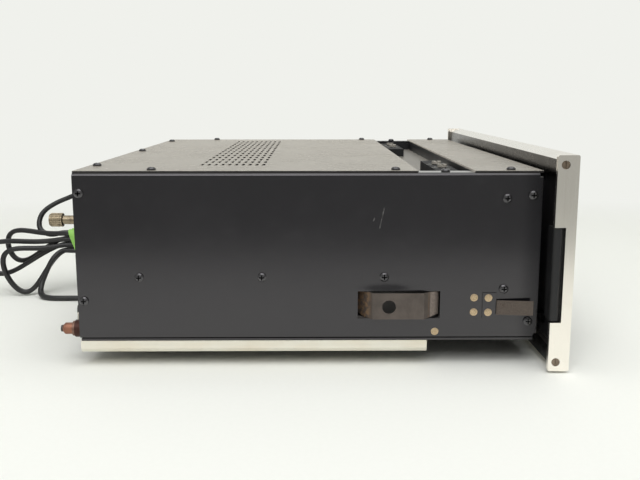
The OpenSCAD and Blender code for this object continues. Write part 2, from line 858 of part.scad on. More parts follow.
// A fluted knob with its shaft, in the front panel's frame
module knob(x, r, reach, body_l) {
    bore = reach - 4;
    color("#b9b8b4") on_front() translate([x, knob_z, 0]) {
        difference() {
            union() {
                cylinder(r = r, h = knob_skirt);
                translate([0, 0, knob_skirt]) linear_extrude(reach - knob_skirt - 1.2) fluted_disc(r - 2);
                translate([0, 0, reach - 1.2]) cylinder(r = r - 3.4, h = 1.2);
            }
            translate([0, 0, -past]) cylinder(r = shaft_r + shaft_play, h = bore + past);
            translate([-0.6, r * 0.3, reach - 0.8]) cube([1.2, r, 2]);
        }
        translate([0, 0, -sub_back - body_l + 3]) cylinder(r = shaft_r, h = bore + sub_back + body_l - 3);
    }
}

// A disc with small round flutes round its rim
module fluted_disc(r) {
    difference() {
        circle(r);
        for (i = [0:flutes - 1]) rotate(i * 360 / flutes) translate([r + 0.2, 0]) circle(r * 0.07, $fn = 16);
    }
}

module input_knob() { knob(-big_knob_x, big_knob_r, big_knob_reach, switch_l); }
module mode_knob() { knob(small_knob_x[0], small_knob_r, small_knob_reach, switch_l); }
module bass_knob() { knob(small_knob_x[1], small_knob_r, small_knob_reach, pot_l); }
module treble_knob() { knob(small_knob_x[2], small_knob_r, small_knob_reach, pot_l); }
module balance_knob() { knob(small_knob_x[3], small_knob_r, small_knob_reach, pot_l); }
module volume_knob() { knob(big_knob_x, big_knob_r, big_knob_reach, pot_l); }

// A control's body behind the subpanel, with its bush and nut through it
module control_body(x, r, l) {
    on_front() translate([x, knob_z, -sub_back]) difference() {
        union() {
            translate([0, 0, -l]) cylinder(r = r, h = l);
            cylinder(r = bush_r, h = sheet + bush_l);
            translate([0, 0, sheet]) cylinder(r = hex_r, h = hex_t, $fn = 6);
        }
        translate([0, 0, -l + 2.5]) cylinder(r = shaft_r + shaft_play, h = l + sheet + bush_l);
    }
}

module control_pots() {
    color("#8d8b84") for (x = concat([small_knob_x[1], small_knob_x[2], small_knob_x[3]], [big_knob_x]))
        control_body(x, pot_r, pot_l);
}

module selector_switches() {
    color("#7b715c") for (x = [-big_knob_x, small_knob_x[0]]) control_body(x, switch_r, switch_l);
}

// A push button: a cap through the glass, on a stem that runs in the bank behind
module push_button(x, z, w, h, stem_end) {
    color("#c4c2bb") {
        front_box(x, z, w, h, -button_reach, button_back);
        front_box(x, z, stem_w, stem_h, button_back, stem_end);
    }
}

module power_button() { push_button(button_x[0], button_z, button_w, button_h, sub_back + stem_in); }
module monitor_button() { push_button(button_x[1], button_z, button_w, button_h, sub_back + stem_in); }
module loudness_button() { push_button(button_x[2], button_z, button_w, button_h, sub_back + stem_in); }
module filter_button() { push_button(button_x[3], button_z, button_w, button_h, sub_back + stem_in); }
module left_lock_button() { push_button(-lock_x, lock_z, lock_w, lock_h, sub_back + lock_travel); }
module right_lock_button() { push_button(lock_x, lock_z, lock_w, lock_h, sub_back + lock_travel); }

// The switch bank that the buttons' stems run in
module button_bank() {
    color("#5c5a55") difference() {
        front_box(0, button_z, 4 * knob_pitch - 10, bank_h, sub_back, sub_back + bank_l);
        for (x = button_x)
            front_box(x, button_z, stem_w + 2 * button_play, stem_h + 2 * button_play,
                      sub_back - past, sub_back + pocket_l);
    }
}

// The headphone socket, on a sleeve from the subpanel to the glass
module phones_jack() {
    color("#a9a7a0") difference() {
        union() {
            front_bar(phones_x, phones_z, phones_bore_r + phones_wall, -phones_nut_t, sub_back);
            front_bar(phones_x, phones_z, phones_nut_r, -phones_nut_t, glass_set);
            front_bar(phones_x, phones_z, phones_body_r, sub_back, sub_back + phones_body_l);
        }
        front_bar(phones_x, phones_z, phones_bore_r, -phones_nut_t - past, sub_back + phones_bore_l);
    }
}

// Rear fittings

// Its children at each phono jack, the z axis pointing out of the rear panel
module at_jacks() {
    translate([corner_jack[0], y_back, corner_jack[1]]) rotate([-90, 0, 0]) children();
    for (i = [0:jack_columns - 1], z = jack_rows)
        translate([jack_first_x + i * jack_pitch, y_back, z]) rotate([-90, 0, 0]) children();
}

// The part of a jack that passes the rear panel
module jack_body(r) {
    translate([0, 0, -jack_back_l]) cylinder(r = r, h = jack_back_l + past);
}

// The phono jacks: a collar clear of the panel's lips, a washer, a barrel with a chamfered end, and a tip
module phono_jacks() {
    barrel_l = jack_reach - jack_tip_l - jack_cut;
    washer_l = jack_collar_in + jack_collar_t + jack_washer_t;
    color("#a5735f") at_jacks() difference() {
        union() {
            translate([0, 0, -jack_back_l]) cylinder(r = jack_r, h = jack_back_l + barrel_l);
            cylinder(r = jack_washer_r, h = washer_l);
            translate([0, 0, jack_collar_in]) cylinder(r = jack_collar_r, h = jack_collar_t);
            translate([0, 0, barrel_l]) cylinder(r1 = jack_r, r2 = jack_r - jack_cut, h = jack_cut);
            cylinder(r = jack_tip_r, h = jack_reach);
        }
        translate([0, 0, 1]) cylinder(r = jack_bore_r, h = jack_reach);
    }
}

// The ground post: a flange, a plain neck and a stud for the thumb nut
module ground_post() {
    neck = post_reach + rear_inset - nut_l - 0.4;
    color("#968c78") translate([post_place[0], y_back, post_place[1]]) rotate([-90, 0, 0]) {
        cylinder(r = nut_r, h = 1.5);
        cylinder(r = post_r, h = neck);
        translate([0, 0, -7]) cylinder(r = stud_r, h = neck + 7 + nut_l - 0.6);
        translate([0, 0, -sheet - 2.2]) cylinder(r = 4, h = 2.2, $fn = 6);
    }
}

// The knurled thumb nut on the ground post
module ground_nut() {
    start = post_reach + rear_inset - nut_l;
    knurls = 20;
    place = [post_place[0], y_back + start, post_place[1]];
    color("#968c78") translate(place) rotate([-90, 0, 0]) difference() {
        union() {
            linear_extrude(nut_l - 0.8) difference() {
                circle(nut_r);
                for (i = [0:knurls - 1]) rotate(i * 360 / knurls)
                    translate([nut_r + 0.15, 0]) circle(0.45, $fn = 16);
            }
            cylinder(r = nut_r - 0.6, h = nut_l);
        }
        translate([0, 0, -past]) cylinder(r = stud_r + shaft_play, h = nut_l + 2 * past);
    }
}

// The grommet in the rear panel, and its tapered boot
module strain_relief() {
    color("#171718") translate([relief_place[0], y_back, relief_place[1]]) rotate([-90, 0, 0]) {
        translate([0, 0, -sheet - 4]) cylinder(r = relief_neck_r, h = sheet + 4);
        cylinder(r = relief_flange_r, h = relief_flange_t);
        translate([0, 0, relief_flange_t])
            cylinder(r1 = relief_neck_r, r2 = relief_tip_r, h = relief_l + rear_inset - relief_flange_t);
    }
}

// Mains lead

// One ring of a tube round point p, square to direction t, starting from normal n
function ring(p, t, n, sides, r) =
    let (b = cross(t, n))
    [for (i = [0:sides - 1]) p + r * (cos(360 * i / sides) * n + sin(360 * i / sides) * b)];

// Directions along a line of points
function unit(v) = v / norm(v);
function directions(p) =
    [for (i = [0:len(p) - 1]) unit(p[min(i + 1, len(p) - 1)] - p[max(i - 1, 0)])];

// Normals carried along a line without twist
function square_to(n, t) = unit(n - (n * t) * t);
function normals(t, n0) =
    [for (i = 0, n = square_to(n0, t[0]); i < len(t);
          i = i + 1, n = i < len(t) ? square_to(n, t[i]) : n) n];

// A closed tube along a line of points, in triangles
module tube(p, sides, r) {
    t = directions(p);
    n = normals(t, [0, 0, 1]);
    m = len(p);
    points = [for (i = [0:m - 1]) each ring(p[i], t[i], n[i], sides, r)];
    walls = [for (i = [0:m - 2], k = [0:sides - 1]) let (a = i * sides + k, b = i * sides + (k + 1) % sides)
             each [[a, a + sides, b], [b, a + sides, b + sides]]];
    end = (m - 1) * sides;
    caps = [for (k = [1:sides - 2]) each [[0, k, k + 1], [end, end + k + 1, end + k]]];
    polyhedron(points, concat(walls, caps));
}

// The hank's lobes: f runs from 0 to 1 round a lobe, and a lobe leaves and meets the waist straight
function slot_z(k) = (1.5 - k) * strand_pitch;
function eased(a, ease) = a * a / (a * a + ease * ease);
function lobe_opening(w, f) = w * 0.65 * sin(360 * f) * sin(180 * f);
function left_lobe(k, f) =
    let (a = left_l[k] * sin(180 * f), c = lobe_opening(left_open[k], f),
         turn = left_tilt[k] * eased(a, left_ease))
    waist + [-strand_pitch / 2 * cos(180 * f) + left_fan * (1 - k) * sin(180 * f),
             a * cos(turn) + c * sin(turn),
             slot_z(k + f) - a * sin(turn) + c * cos(turn)];
function right_lobe(k, f) =
    let (a = right_l[k] * sin(180 * f), turn = right_turn[k] * eased(a, right_ease),
         c = strand_pitch / 2 * cos(180 * f) + lobe_opening(right_open, f))
    waist + [a * sin(turn) + c * cos(turn), -a * cos(turn) + c * sin(turn),
             slot_z(k) - right_drop * pow(sin(180 * f), 2)];
function hank_point(j, f) = j % 2 == 0 ? right_lobe(j / 2, f) : left_lobe((j - 1) / 2, f);
hank_lobes = 7;
function hank_line(rings) =
    concat([for (j = [0:hank_lobes - 1], i = [0:rings - 1]) hank_point(j, i / rings)],
           [hank_point(hank_lobes - 1, 1)]);

// The least gap between strands, measured between points that lie far apart along the lead
gap_rings = 36;
gap_points = hank_line(gap_rings);
gap_skip = 8;
least_gap = min([for (i = [0:len(gap_points) - 1], k = [i + gap_skip:1:len(gap_points) - 1])
                 norm(gap_points[i] - gap_points[k])]) - cord_d;
lowest = min([for (p = gap_points) p[2]]) - cord_d / 2;
echo(least_gap_between_strands = least_gap, lowest_point = lowest);

function placed(points, up) = [for (p = points) [p[0], y_rear + p[1], up + p[2]]];
hank_start = hank_point(0, 0);
hank_end = hank_point(hank_lobes - 1, 1);
straight = cord_d * 1.2;

module cord_lead() {
    color("#1b1b1d") tube(concat(placed(lead_points, z_base), [hank_start + [0, straight, 0], hank_start]),
                          lead_sides, cord_d / 2);
}

module cord_hank() { color("#1b1b1d") tube(hank_line(lobe_rings), hank_sides, cord_d / 2); }

module cord_tail() {
    color("#1b1b1d") tube(concat([hank_end, hank_end + [0, straight, 0]], placed(tail_points, 0)),
                          lead_sides, cord_d / 2);
}

// The green tie round the hank's waist
module cord_tie() {
    inner = [strand_pitch + cord_d, 3 * strand_pitch + cord_d];
    color("#96c864") translate(waist + [0, tie_w / 2, 0]) rotate([90, 0, 0])
        linear_extrude(tie_w) difference() {
            square(inner + 2 * [tie_t, tie_t], center = true);
            square(inner, center = true);
        }
}

// A flat two-blade plug on the floor at the lead's end
module mains_plug() {
    end = placed(tail_points, 0)[len(tail_points) - 1];
    color("#1b1b1d") translate(end) {
        translate([-plug_l, 0, -plug_h / 2]) linear_extrude(plug_h)
            polygon([[0, -plug_w / 2], [plug_l * plug_shoulder, -plug_w / 2], [plug_l, -plug_neck],
                     [plug_l, plug_neck], [plug_l * plug_shoulder, plug_w / 2], [0, plug_w / 2]]);
        for (side = [-1, 1])
            translate([-plug_l - blade[0], side * blade_spread - blade[1] / 2, -blade[2] / 2]) cube(blade);
    }
}

// Inside

// The mains transformer: a core with winding bells on both faces
module power_transformer() {
    color("#55504a") translate([core_x, y_at(core_s), z_side]) {
        translate([-core[0] / 2, -core[1] / 2, 0]) cube(core);
        translate([-bell[0] / 2, -bell[1] / 2, bell_lift]) cube(bell);
        for (side = [-1, 1])
            translate([side * (core[0] / 2 + tab[0] / 2 - 2) - tab[0] / 2, -tab[1] / 2, 0]) cube(tab);
    }
}

module main_board() {
    color("#3d5a3a") translate([-half_w + board_in, y_at(chassis_d - foot_in), z_side]) {
        translate([0, 0, board_lift]) cube(board);
        for (x = [post_in, board[0] - post_in], y = [post_in, board[1] - post_in])
            translate([x, y, 0]) cylinder(r = board_post_r, h = board_lift);
    }
}

module filter_capacitors() {
    color("#8f9298") for (i = [-1:1])
        translate([core_x + i * can_pitch, y_at(can_s), z_side]) cylinder(r = can_r, h = can_l);
}

// Moving catches, springs and trimmers by name
module left_stop_catch() { stop_catch(); }
module right_stop_catch() { on_side(1) stop_catch(); }
module left_side_spring() { side_spring(); }
module right_side_spring() { on_side(1) side_spring(); }
module left_bass_trim() { trimmer(0); }
module left_level_trim() { trimmer(1); }
module right_level_trim() { trimmer(2); }
module right_bass_trim() { trimmer(3); }

left_side_panel();
right_side_panel();
bottom_plate();
rear_panel();
front_subpanel();
top_cover();
top_front_strip();
trim_tray();
trim_blocks();
trim_pots();
feet();
guide_rails();
case_screws();
brass_fasteners();
spring_plates();
catch_brackets();
top_trim();
bottom_trim();
left_end_cap();
right_end_cap();
front_glass();
panel_backplate();
end_cap_screws();
lock_bars();
control_pots();
selector_switches();
button_bank();
phones_jack();
phono_jacks();
ground_post();
strain_relief();
cord_lead();
cord_hank();
cord_tail();
mains_plug();
cord_tie();
power_transformer();
main_board();
filter_capacitors();
input_knob();
mode_knob();
bass_knob();
treble_knob();
balance_knob();
volume_knob();
power_button();
monitor_button();
loudness_button();
filter_button();
left_lock_button();
right_lock_button();
left_stop_catch();
right_stop_catch();
left_side_spring();
right_side_spring();
ground_nut();
left_bass_trim();
left_level_trim();
right_level_trim();
right_bass_trim();
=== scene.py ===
"""Looks of a slide-in stereo preamplifier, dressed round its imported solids.

Lengths in the classes are millimetres in the part's own frame, and a mesh gets metres when it is built.
The front faces -Y, +Z is up, and the feet stand on Z = 0.
"""

import functools
import logging
import math
from collections.abc import Sequence
from dataclasses import dataclass
from enum import Enum

import bmesh
import bpy
import numpy as np
from mathutils import Matrix, Vector


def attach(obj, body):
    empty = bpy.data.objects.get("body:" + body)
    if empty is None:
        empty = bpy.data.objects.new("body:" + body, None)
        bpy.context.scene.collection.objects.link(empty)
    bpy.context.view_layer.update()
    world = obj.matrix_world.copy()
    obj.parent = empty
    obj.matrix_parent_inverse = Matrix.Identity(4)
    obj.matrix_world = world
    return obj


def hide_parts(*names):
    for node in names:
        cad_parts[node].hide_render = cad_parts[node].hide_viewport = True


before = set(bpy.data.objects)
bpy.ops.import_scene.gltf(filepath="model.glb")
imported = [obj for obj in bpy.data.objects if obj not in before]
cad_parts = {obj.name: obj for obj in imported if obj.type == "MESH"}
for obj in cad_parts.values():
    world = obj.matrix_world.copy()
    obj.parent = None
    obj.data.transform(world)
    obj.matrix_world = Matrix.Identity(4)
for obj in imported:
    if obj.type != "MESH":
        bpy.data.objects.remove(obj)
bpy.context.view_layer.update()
LOG = logging.getLogger("preamplifier")
MM = 0.001
MERGE_WITHIN = 0.002
SLIVER_WITHIN = 0.001

Array = np.ndarray
Socket = bpy.types.NodeSocket
Triple = tuple[float, float, float]


class Axis(Enum):
    """A direction of the part's frame."""

    X = (1.0, 0.0, 0.0)
    Y = (0.0, 1.0, 0.0)
    Z = (0.0, 0.0, 1.0)

    @property
    def line(self) -> Array:
        """The direction as an array."""
        return np.array(self.value)


# Node trees


class Graph:
    """A material's node tree; each method adds nodes and returns the output that they end in."""

    def __init__(self, name: str) -> None:
        """Makes a material with its Principled shader.

        Args:
            name: the material's name.
        """
        self.material = bpy.data.materials.new(name)
        self.material.use_nodes = True
        self.nodes = self.material.node_tree.nodes
        self.links = self.material.node_tree.links
        self.shader = next(n for n in self.nodes if n.type == "BSDF_PRINCIPLED")

    def feed(self, socket: Socket, value: Socket | float | Sequence[float]) -> None:
        """Links an output into a socket, or sets a plain value on it.

        Args:
            socket: the input.
            value: an output, a number or a colour.
        """
        if isinstance(value, bpy.types.NodeSocket):
            self.links.new(value, socket)
        else:
            socket.default_value = value

    def put(self, **sockets: Socket | float | Sequence[float]) -> None:
        """Feeds the shader's sockets, each named with _ for a space."""
        for name, value in sockets.items():
            self.feed(self.shader.inputs[name.replace("_", " ")], value)

    def place(
        self, size: Triple, centre: Triple = (0, 0, 0), turn: Triple = (0, 0, 0), uv: str = "",
    ) -> Socket:
        """The point on the surface, counted in steps of a size from a centre.

        Args:
            size: millimetres of a step along each axis.
            centre: where the count starts, in millimetres.
            turn: how the axes are turned, in degrees.
            uv: the map to read in place of Object coordinates.

        Returns:
            The vector output.
        """
        if uv:
            source = self.nodes.new("ShaderNodeUVMap")
            source.uv_map = uv
            point = source.outputs["UV"]
        else:
            point = self.nodes.new("ShaderNodeTexCoord").outputs["Object"]
        mapping = self.nodes.new("ShaderNodeMapping")
        mapping.vector_type = "TEXTURE"
        self.feed(mapping.inputs["Vector"], point)
        mapping.inputs["Location"].default_value = [MM * c for c in centre]
        mapping.inputs["Rotation"].default_value = [math.radians(t) for t in turn]
        mapping.inputs["Scale"].default_value = [MM * s for s in size]
        return mapping.outputs["Vector"]

    def noise(self, size: Triple, detail: float = 3, roughness: float = 0.5, uv: str = "") -> Socket:
        """Cloudy noise whose lumps have a size.

        Args:
            size: millimetres of a lump along each axis.
            detail: octaves of finer noise in it.
            roughness: how strong the finer octaves are.
            uv: the map to read in place of Object coordinates.

        Returns:
            The value output.
        """
        node = self.nodes.new("ShaderNodeTexNoise")
        self.feed(node.inputs["Vector"], self.place(size, uv=uv))
        node.inputs["Scale"].default_value = 1
        node.inputs["Detail"].default_value = detail
        node.inputs["Roughness"].default_value = roughness
        return node.outputs["Fac"]

    def cells(self, size: Triple) -> Socket:
        """Distance to the nearest of scattered points.

        Args:
            size: about how far apart the points lie along each axis, in millimetres.

        Returns:
            The value output.
        """
        node = self.nodes.new("ShaderNodeTexVoronoi")
        self.feed(node.inputs["Vector"], self.place(size))
        node.inputs["Scale"].default_value = 1
        return node.outputs["Distance"]

    def ramp(self, value: Socket, start: float, end: float, low: float = 0, high: float = 1) -> Socket:
        """A smooth step of a value.

        Args:
            value: the output to read.
            start: the value at which the step begins.
            end: the value at which it ends.
            low: the result before the step.
            high: the result after it.

        Returns:
            The stepped value.
        """
        node = self.nodes.new("ShaderNodeMapRange")
        node.interpolation_type = "SMOOTHSTEP"
        for name, number in zip(("From Min", "From Max", "To Min", "To Max"), (start, end, low, high)):
            node.inputs[name].default_value = number
        self.feed(node.inputs["Value"], value)
        return node.outputs["Result"]

    def math(self, operation: str, first: Socket | float, second: Socket | float = 0) -> Socket:
        """One sum of two values.

        Args:
            operation: Blender's name of it.
            first: the first value.
            second: the second value.

        Returns:
            The result.
        """
        node = self.nodes.new("ShaderNodeMath")
        node.operation = operation
        self.feed(node.inputs[0], first)
        self.feed(node.inputs[1], second)
        return node.outputs[0]

    def axis(self, vector: Socket, axis: Axis) -> Socket:
        """One coordinate of a vector.

        Args:
            vector: the vector output.
            axis: which coordinate.

        Returns:
            The value output.
        """
        node = self.nodes.new("ShaderNodeSeparateXYZ")
        self.feed(node.inputs[0], vector)
        return node.outputs[axis.name]

    def band(self, axis: Axis, start: float, end: float, soft: float = 0.1) -> Socket:
        """1 between two places along an axis, and 0 elsewhere.

        Args:
            axis: the axis.
            start: the lower place, in millimetres.
            end: the upper place, in millimetres.
            soft: millimetres over which the mask comes in at either end.

        Returns:
            The mask output.
        """
        at = self.axis(self.place((1, 1, 1)), axis)
        rise = self.ramp(at, start - soft, start + soft)
        return self.math("MULTIPLY", rise, self.ramp(at, end - soft, end + soft, 1, 0))

    def length(self, vector: Socket) -> Socket:
        """The length of a vector.

        Args:
            vector: the vector output.

        Returns:
            The value output.
        """
        node = self.nodes.new("ShaderNodeVectorMath")
        node.operation = "LENGTH"
        self.feed(node.inputs[0], vector)
        return node.outputs["Value"]

    def mix(self, share: Socket | float, first: Socket | Triple, second: Socket | Triple) -> Socket:
        """A colour between two colours.

        Args:
            share: how much of the second colour.
            first: a colour output, or display values from 0 to 255.
            second: the same.

        Returns:
            The colour output.
        """
        node = self.nodes.new("ShaderNodeMix")
        node.data_type = "RGBA"
        self.feed(node.inputs[0], share)
        for socket, colour in ((node.inputs[6], first), (node.inputs[7], second)):
            self.feed(socket, colour if isinstance(colour, bpy.types.NodeSocket) else tone(colour))
        return node.outputs[2]

    def bump(
        self, height: Socket, depth: float, strength: float = 1, normal: Socket | None = None,
    ) -> Socket:
        """A normal that follows a height.

        Args:
            height: the height, in steps.
            depth: millimetres of a step.
            strength: how much of the bump shows.
            normal: the normal under the bump, where it isn't the surface's own.

        Returns:
            The normal output.
        """
        node = self.nodes.new("ShaderNodeBump")
        node.inputs["Strength"].default_value = strength
        node.inputs["Distance"].default_value = MM * depth
        self.feed(node.inputs["Height"], height)
        if normal:
            self.feed(node.inputs["Normal"], normal)
        return node.outputs["Normal"]

    def facing(self, axis: Axis, true_face: bool = False) -> Socket:
        """How squarely the surface faces along an axis: 0 is edge on, 1 is square.

        Args:
            axis: the axis.
            true_face: whether the flat face counts, and not its smooth shading.

        Returns:
            The value output.
        """
        source = self.nodes.new("ShaderNodeNewGeometry").outputs["True Normal" if true_face else "Normal"]
        return self.math("ABSOLUTE", self.axis(source, axis))

    def flatten(self, axis: Axis, share: Socket | float) -> Socket:
        """The surface's normal, turned toward an axis, as if bends and domes were flatter than they are.

        Args:
            axis: the axis; the normal goes to the end of it that it faces already.
            share: how far it turns, from 0 to 1.

        Returns:
            The normal output.
        """
        normal = self.nodes.new("ShaderNodeNewGeometry").outputs["Normal"]
        flat = self.nodes.new("ShaderNodeCombineXYZ")
        self.feed(flat.inputs[axis.name], self.math("SIGN", self.axis(normal, axis)))
        blend = self.nodes.new("ShaderNodeMix")
        blend.data_type = "VECTOR"
        for socket, value in zip((blend.inputs[0], *blend.inputs[4:6]), (share, normal, flat.outputs[0])):
            self.feed(socket, value)
        unit = self.nodes.new("ShaderNodeVectorMath")
        unit.operation = "NORMALIZE"
        self.feed(unit.inputs[0], blend.outputs[1])
        return unit.outputs["Vector"]


def tone(colour: Triple) -> tuple[float, float, float, float]:
    """A shader colour from display values: each is divided by 255 and raised by the display curve.

    Args:
        colour: red, green and blue from 0 to 255.

    Returns:
        Linear red, green, blue and 1.
    """
    share = np.array(colour) / 255
    linear = np.where(share <= 0.04045, share / 12.92, ((share + 0.055) / 1.055) ** 2.4)
    return (*linear.tolist(), 1.0)


def shade(colour: Triple, factor: float) -> Triple:
    """The colour with its display values multiplied, up to white."""
    return tuple(min(255.0, c * factor) for c in colour)


# Finishes


@dataclass(frozen=True)
class Finish:
    """A finish with its main colour as display values, and its roughness."""

    name: str
    colour: Triple
    roughness: float

    def dress(self, graph: Graph) -> None:
        """Builds the finish's nodes; each kind of finish has its own."""
        raise NotImplementedError

    @functools.cache
    def material(self) -> bpy.types.Material:
        """Makes the finish's material the first time that it is asked for.

        Returns:
            The material.
        """
        graph = Graph(self.name)
        self.dress(graph)
        return graph.material


@dataclass(frozen=True)
class Scratch:
    """A thin scratch on a side panel: its middle, its length and its lean from upright, in degrees."""

    centre: Triple
    length: float
    lean: float
    width: float = 0.35
    depth: float = 4.0


@dataclass(frozen=True)
class Bulge:
    """A place where the sheet is pressed out: its middle, its spread along each axis and its height."""

    centre: Triple
    spread: Triple
    height: float


@dataclass(frozen=True)
class SatinPaint(Finish):
    """Sprayed satin paint with a fine peel, cloudy gloss, light dust, scratches, and long edges lightened
    partly as worn paint and partly as a painted highlight.

    A film of dust, where there is one, shows at low angles, and below a height a paler patchy tone is
    partly settled dust and partly a painted reflection. Side sheets may have tight bends, a bulge, and a
    gloss with painted shade toward the front edge and painted light lower down.
    """

    dust: Triple
    dust_share: float = 0.1
    scratches: tuple[Scratch, ...] = ()
    scratch_colour: Triple = (100, 99, 98)
    specular: float = 0.5
    tint: Triple = (255, 255, 255)
    film: float = 0.0
    film_tint: Triple = (255, 246, 232)
    # The lighter band along the long edges is partly worn paint and partly a painted highlight.
    edge_wear_and_highlight: float = 0.0
    edge_wear_and_highlight_z: float = 128.4
    edge_wear_and_highlight_reach: tuple[float, float] = (0.7, 0.3)
    edge_wear_and_highlight_colour: Triple = (196, 192, 184)
    # Below this height the paler tone is partly settled dust and partly a painted reflection.
    dust_and_reflection_z: float = 0.0
    settled: Triple = (150, 146, 138)
    dust_and_reflection_reach: float = 50.0
    bulge: Bulge | None = None
    tight: tuple[float, float] | None = None
    # Painted shade lowers the gloss toward the front edge, and a painted gradient raises it lower down.
    front_edge: float = 0.0
    fade: float = 15.0
    dull: float = 0.5
    rise: tuple[float, float] = (1.0, 1.0)
    painted_gloss_heights: tuple[float, float] = (25.0, 105.0)
    cloud_size: float = 70.0
    patch_size: float = 16.0
    speck_gap: float = 7.0
    peel_size: float = 0.5
    peel_depth: float = 0.002

    def dress(self, graph: Graph) -> None:
        """Clouds shift colour and gloss, patches of fine noise add dust, and fine lumps give the peel.

        Args:
            graph: the finish's node tree.
        """
        cloud = graph.noise((self.cloud_size,) * 3, detail=4)
        patch = graph.noise((self.patch_size,) * 3, detail=7, roughness=0.68)
        colour = graph.mix(graph.ramp(cloud, 0.3, 0.7), self.colour, shade(self.colour, 1.1))
        colour = graph.mix(graph.ramp(patch, 0.5, 0.78, 0, self.dust_share), colour, self.dust)
        speck = graph.ramp(graph.cells((self.speck_gap,) * 3), 0.02, 0.05, 0.4, 0)
        colour = graph.mix(speck, colour, self.dust)
        for scratch in self.scratches:
            colour = graph.mix(self.scratch_mask(graph, scratch), colour, self.scratch_colour)
        # Lighter long edges: partly worn paint, partly a painted highlight.
        if self.edge_wear_and_highlight:
            colour = graph.mix(self.edge_wear_and_highlight_mask(graph), colour, self.edge_wear_and_highlight_colour)
        film = self.film
        # A paler patchy tone below a height: partly settled dust, partly a painted reflection.
        if self.dust_and_reflection_z:
            low = graph.band(Axis.Z, self.dust_and_reflection_z - self.dust_and_reflection_reach, self.dust_and_reflection_z, 0.05)
            share = graph.math("MULTIPLY", low, graph.ramp(patch, 0.25, 0.7, 0.35, 0.9))
            colour = graph.mix(share, colour, self.settled)
            film = graph.math("MULTIPLY", low, self.film)
        gloss = graph.math(
            "ADD", graph.ramp(cloud, 0.3, 0.7, -0.02, 0.03), graph.ramp(patch, 0.4, 0.8, 0, 0.05))
        peel = graph.noise((self.peel_size,) * 3, detail=2)
        height = graph.math("MULTIPLY", peel, self.peel_depth)
        if self.bulge:
            height = graph.math("ADD", height, self.swell(graph, self.bulge))
        # The specular level carries painted shade toward the front edge and painted light lower down.
        graph.put(
            Base_Color=colour,
            Roughness=graph.math("ADD", gloss, self.roughness),
            Specular_IOR_Level=self.painted_gloss(graph) if self.front_edge else self.specular,
            Specular_Tint=tone(self.tint),
            Sheen_Weight=film,
            Sheen_Roughness=0.5,
            Sheen_Tint=tone(self.film_tint),
            Normal=graph.bump(height, 1.0, normal=self.bend(graph) if self.tight else None),
        )

    def bend(self, graph: Graph) -> Socket:
        """The normal of side sheets whose bends begin only outside the tight heights.

        Args:
            graph: the finish's node tree.

        Returns:
            The normal output.
        """
        side = graph.ramp(graph.facing(Axis.X), 0.2, 0.4)
        return graph.flatten(Axis.X, graph.math("MULTIPLY", side, graph.band(Axis.Z, *self.tight, 0.15)))

    def painted_gloss(self, graph: Graph) -> Socket:
        """The specular level, painted with light and shade: it grows from the top down, and falls toward
        the front edge under the overhanging front panel.

        Args:
            graph: the finish's node tree.

        Returns:
            The value output.
        """
        point = graph.place((1, 1, 1))
        front = graph.ramp(
            graph.axis(point, Axis.Y), self.front_edge, self.front_edge + self.fade, self.dull, 1)
        height = graph.ramp(graph.axis(point, Axis.Z), *self.painted_gloss_heights, *self.rise)
        return graph.math("MULTIPLY", graph.math("MULTIPLY", front, height), self.specular)

    def swell(self, graph: Graph, bulge: Bulge) -> Socket:
        """The height h exp(-r * r) of a bulge in millimetres, r being the distance counted in its spreads.

        Args:
            graph: the finish's node tree.
            bulge: the bulge.

        Returns:
            The height output.
        """
        far = graph.length(graph.place(bulge.spread, bulge.centre))
        fall = graph.math("EXPONENT", graph.math("MULTIPLY", graph.math("MULTIPLY", far, far), -1.0))
        return graph.math("MULTIPLY", fall, bulge.height)

    def edge_wear_and_highlight_mask(self, graph: Graph) -> Socket:
        """1 along the two long edges that lie at that distance from the middle, broken up by noise: partly
        worn paint, partly a painted highlight.

        Args:
            graph: the finish's node tree.

        Returns:
            The mask output.
        """
        across = graph.math("ABSOLUTE", graph.axis(graph.place((1, 1, 1)), Axis.X))
        edge = graph.ramp(across, *(self.edge_wear_and_highlight - reach for reach in self.edge_wear_and_highlight_reach))
        top = graph.band(Axis.Z, self.edge_wear_and_highlight_z, self.edge_wear_and_highlight_z + 1, 0.05)
        patchy = graph.ramp(graph.noise((3, 9, 3), detail=4), 0.3, 0.5, 0.6, 1)
        return graph.math("MULTIPLY", graph.math("MULTIPLY", edge, top), patchy)

    def scratch_mask(self, graph: Graph, scratch: Scratch) -> Socket:
        """1 on a scratch, broken up by fine noise, and 0 elsewhere.

        Args:
            graph: the finish's node tree.
            scratch: the scratch.

        Returns:
            The mask output.
        """
        size = (scratch.depth, scratch.width, scratch.length / 2)
        local = graph.place(size, scratch.centre, (scratch.lean, 0, 0))
        mask = graph.ramp(graph.noise((0.8, 0.8, 0.8), detail=2), 0.35, 0.6)
        for axis in Axis:
            reach = graph.math("ABSOLUTE", graph.axis(local, axis))
            mask = graph.math("MULTIPLY", mask, graph.ramp(reach, 0.6, 1.0, 1, 0))
        return mask


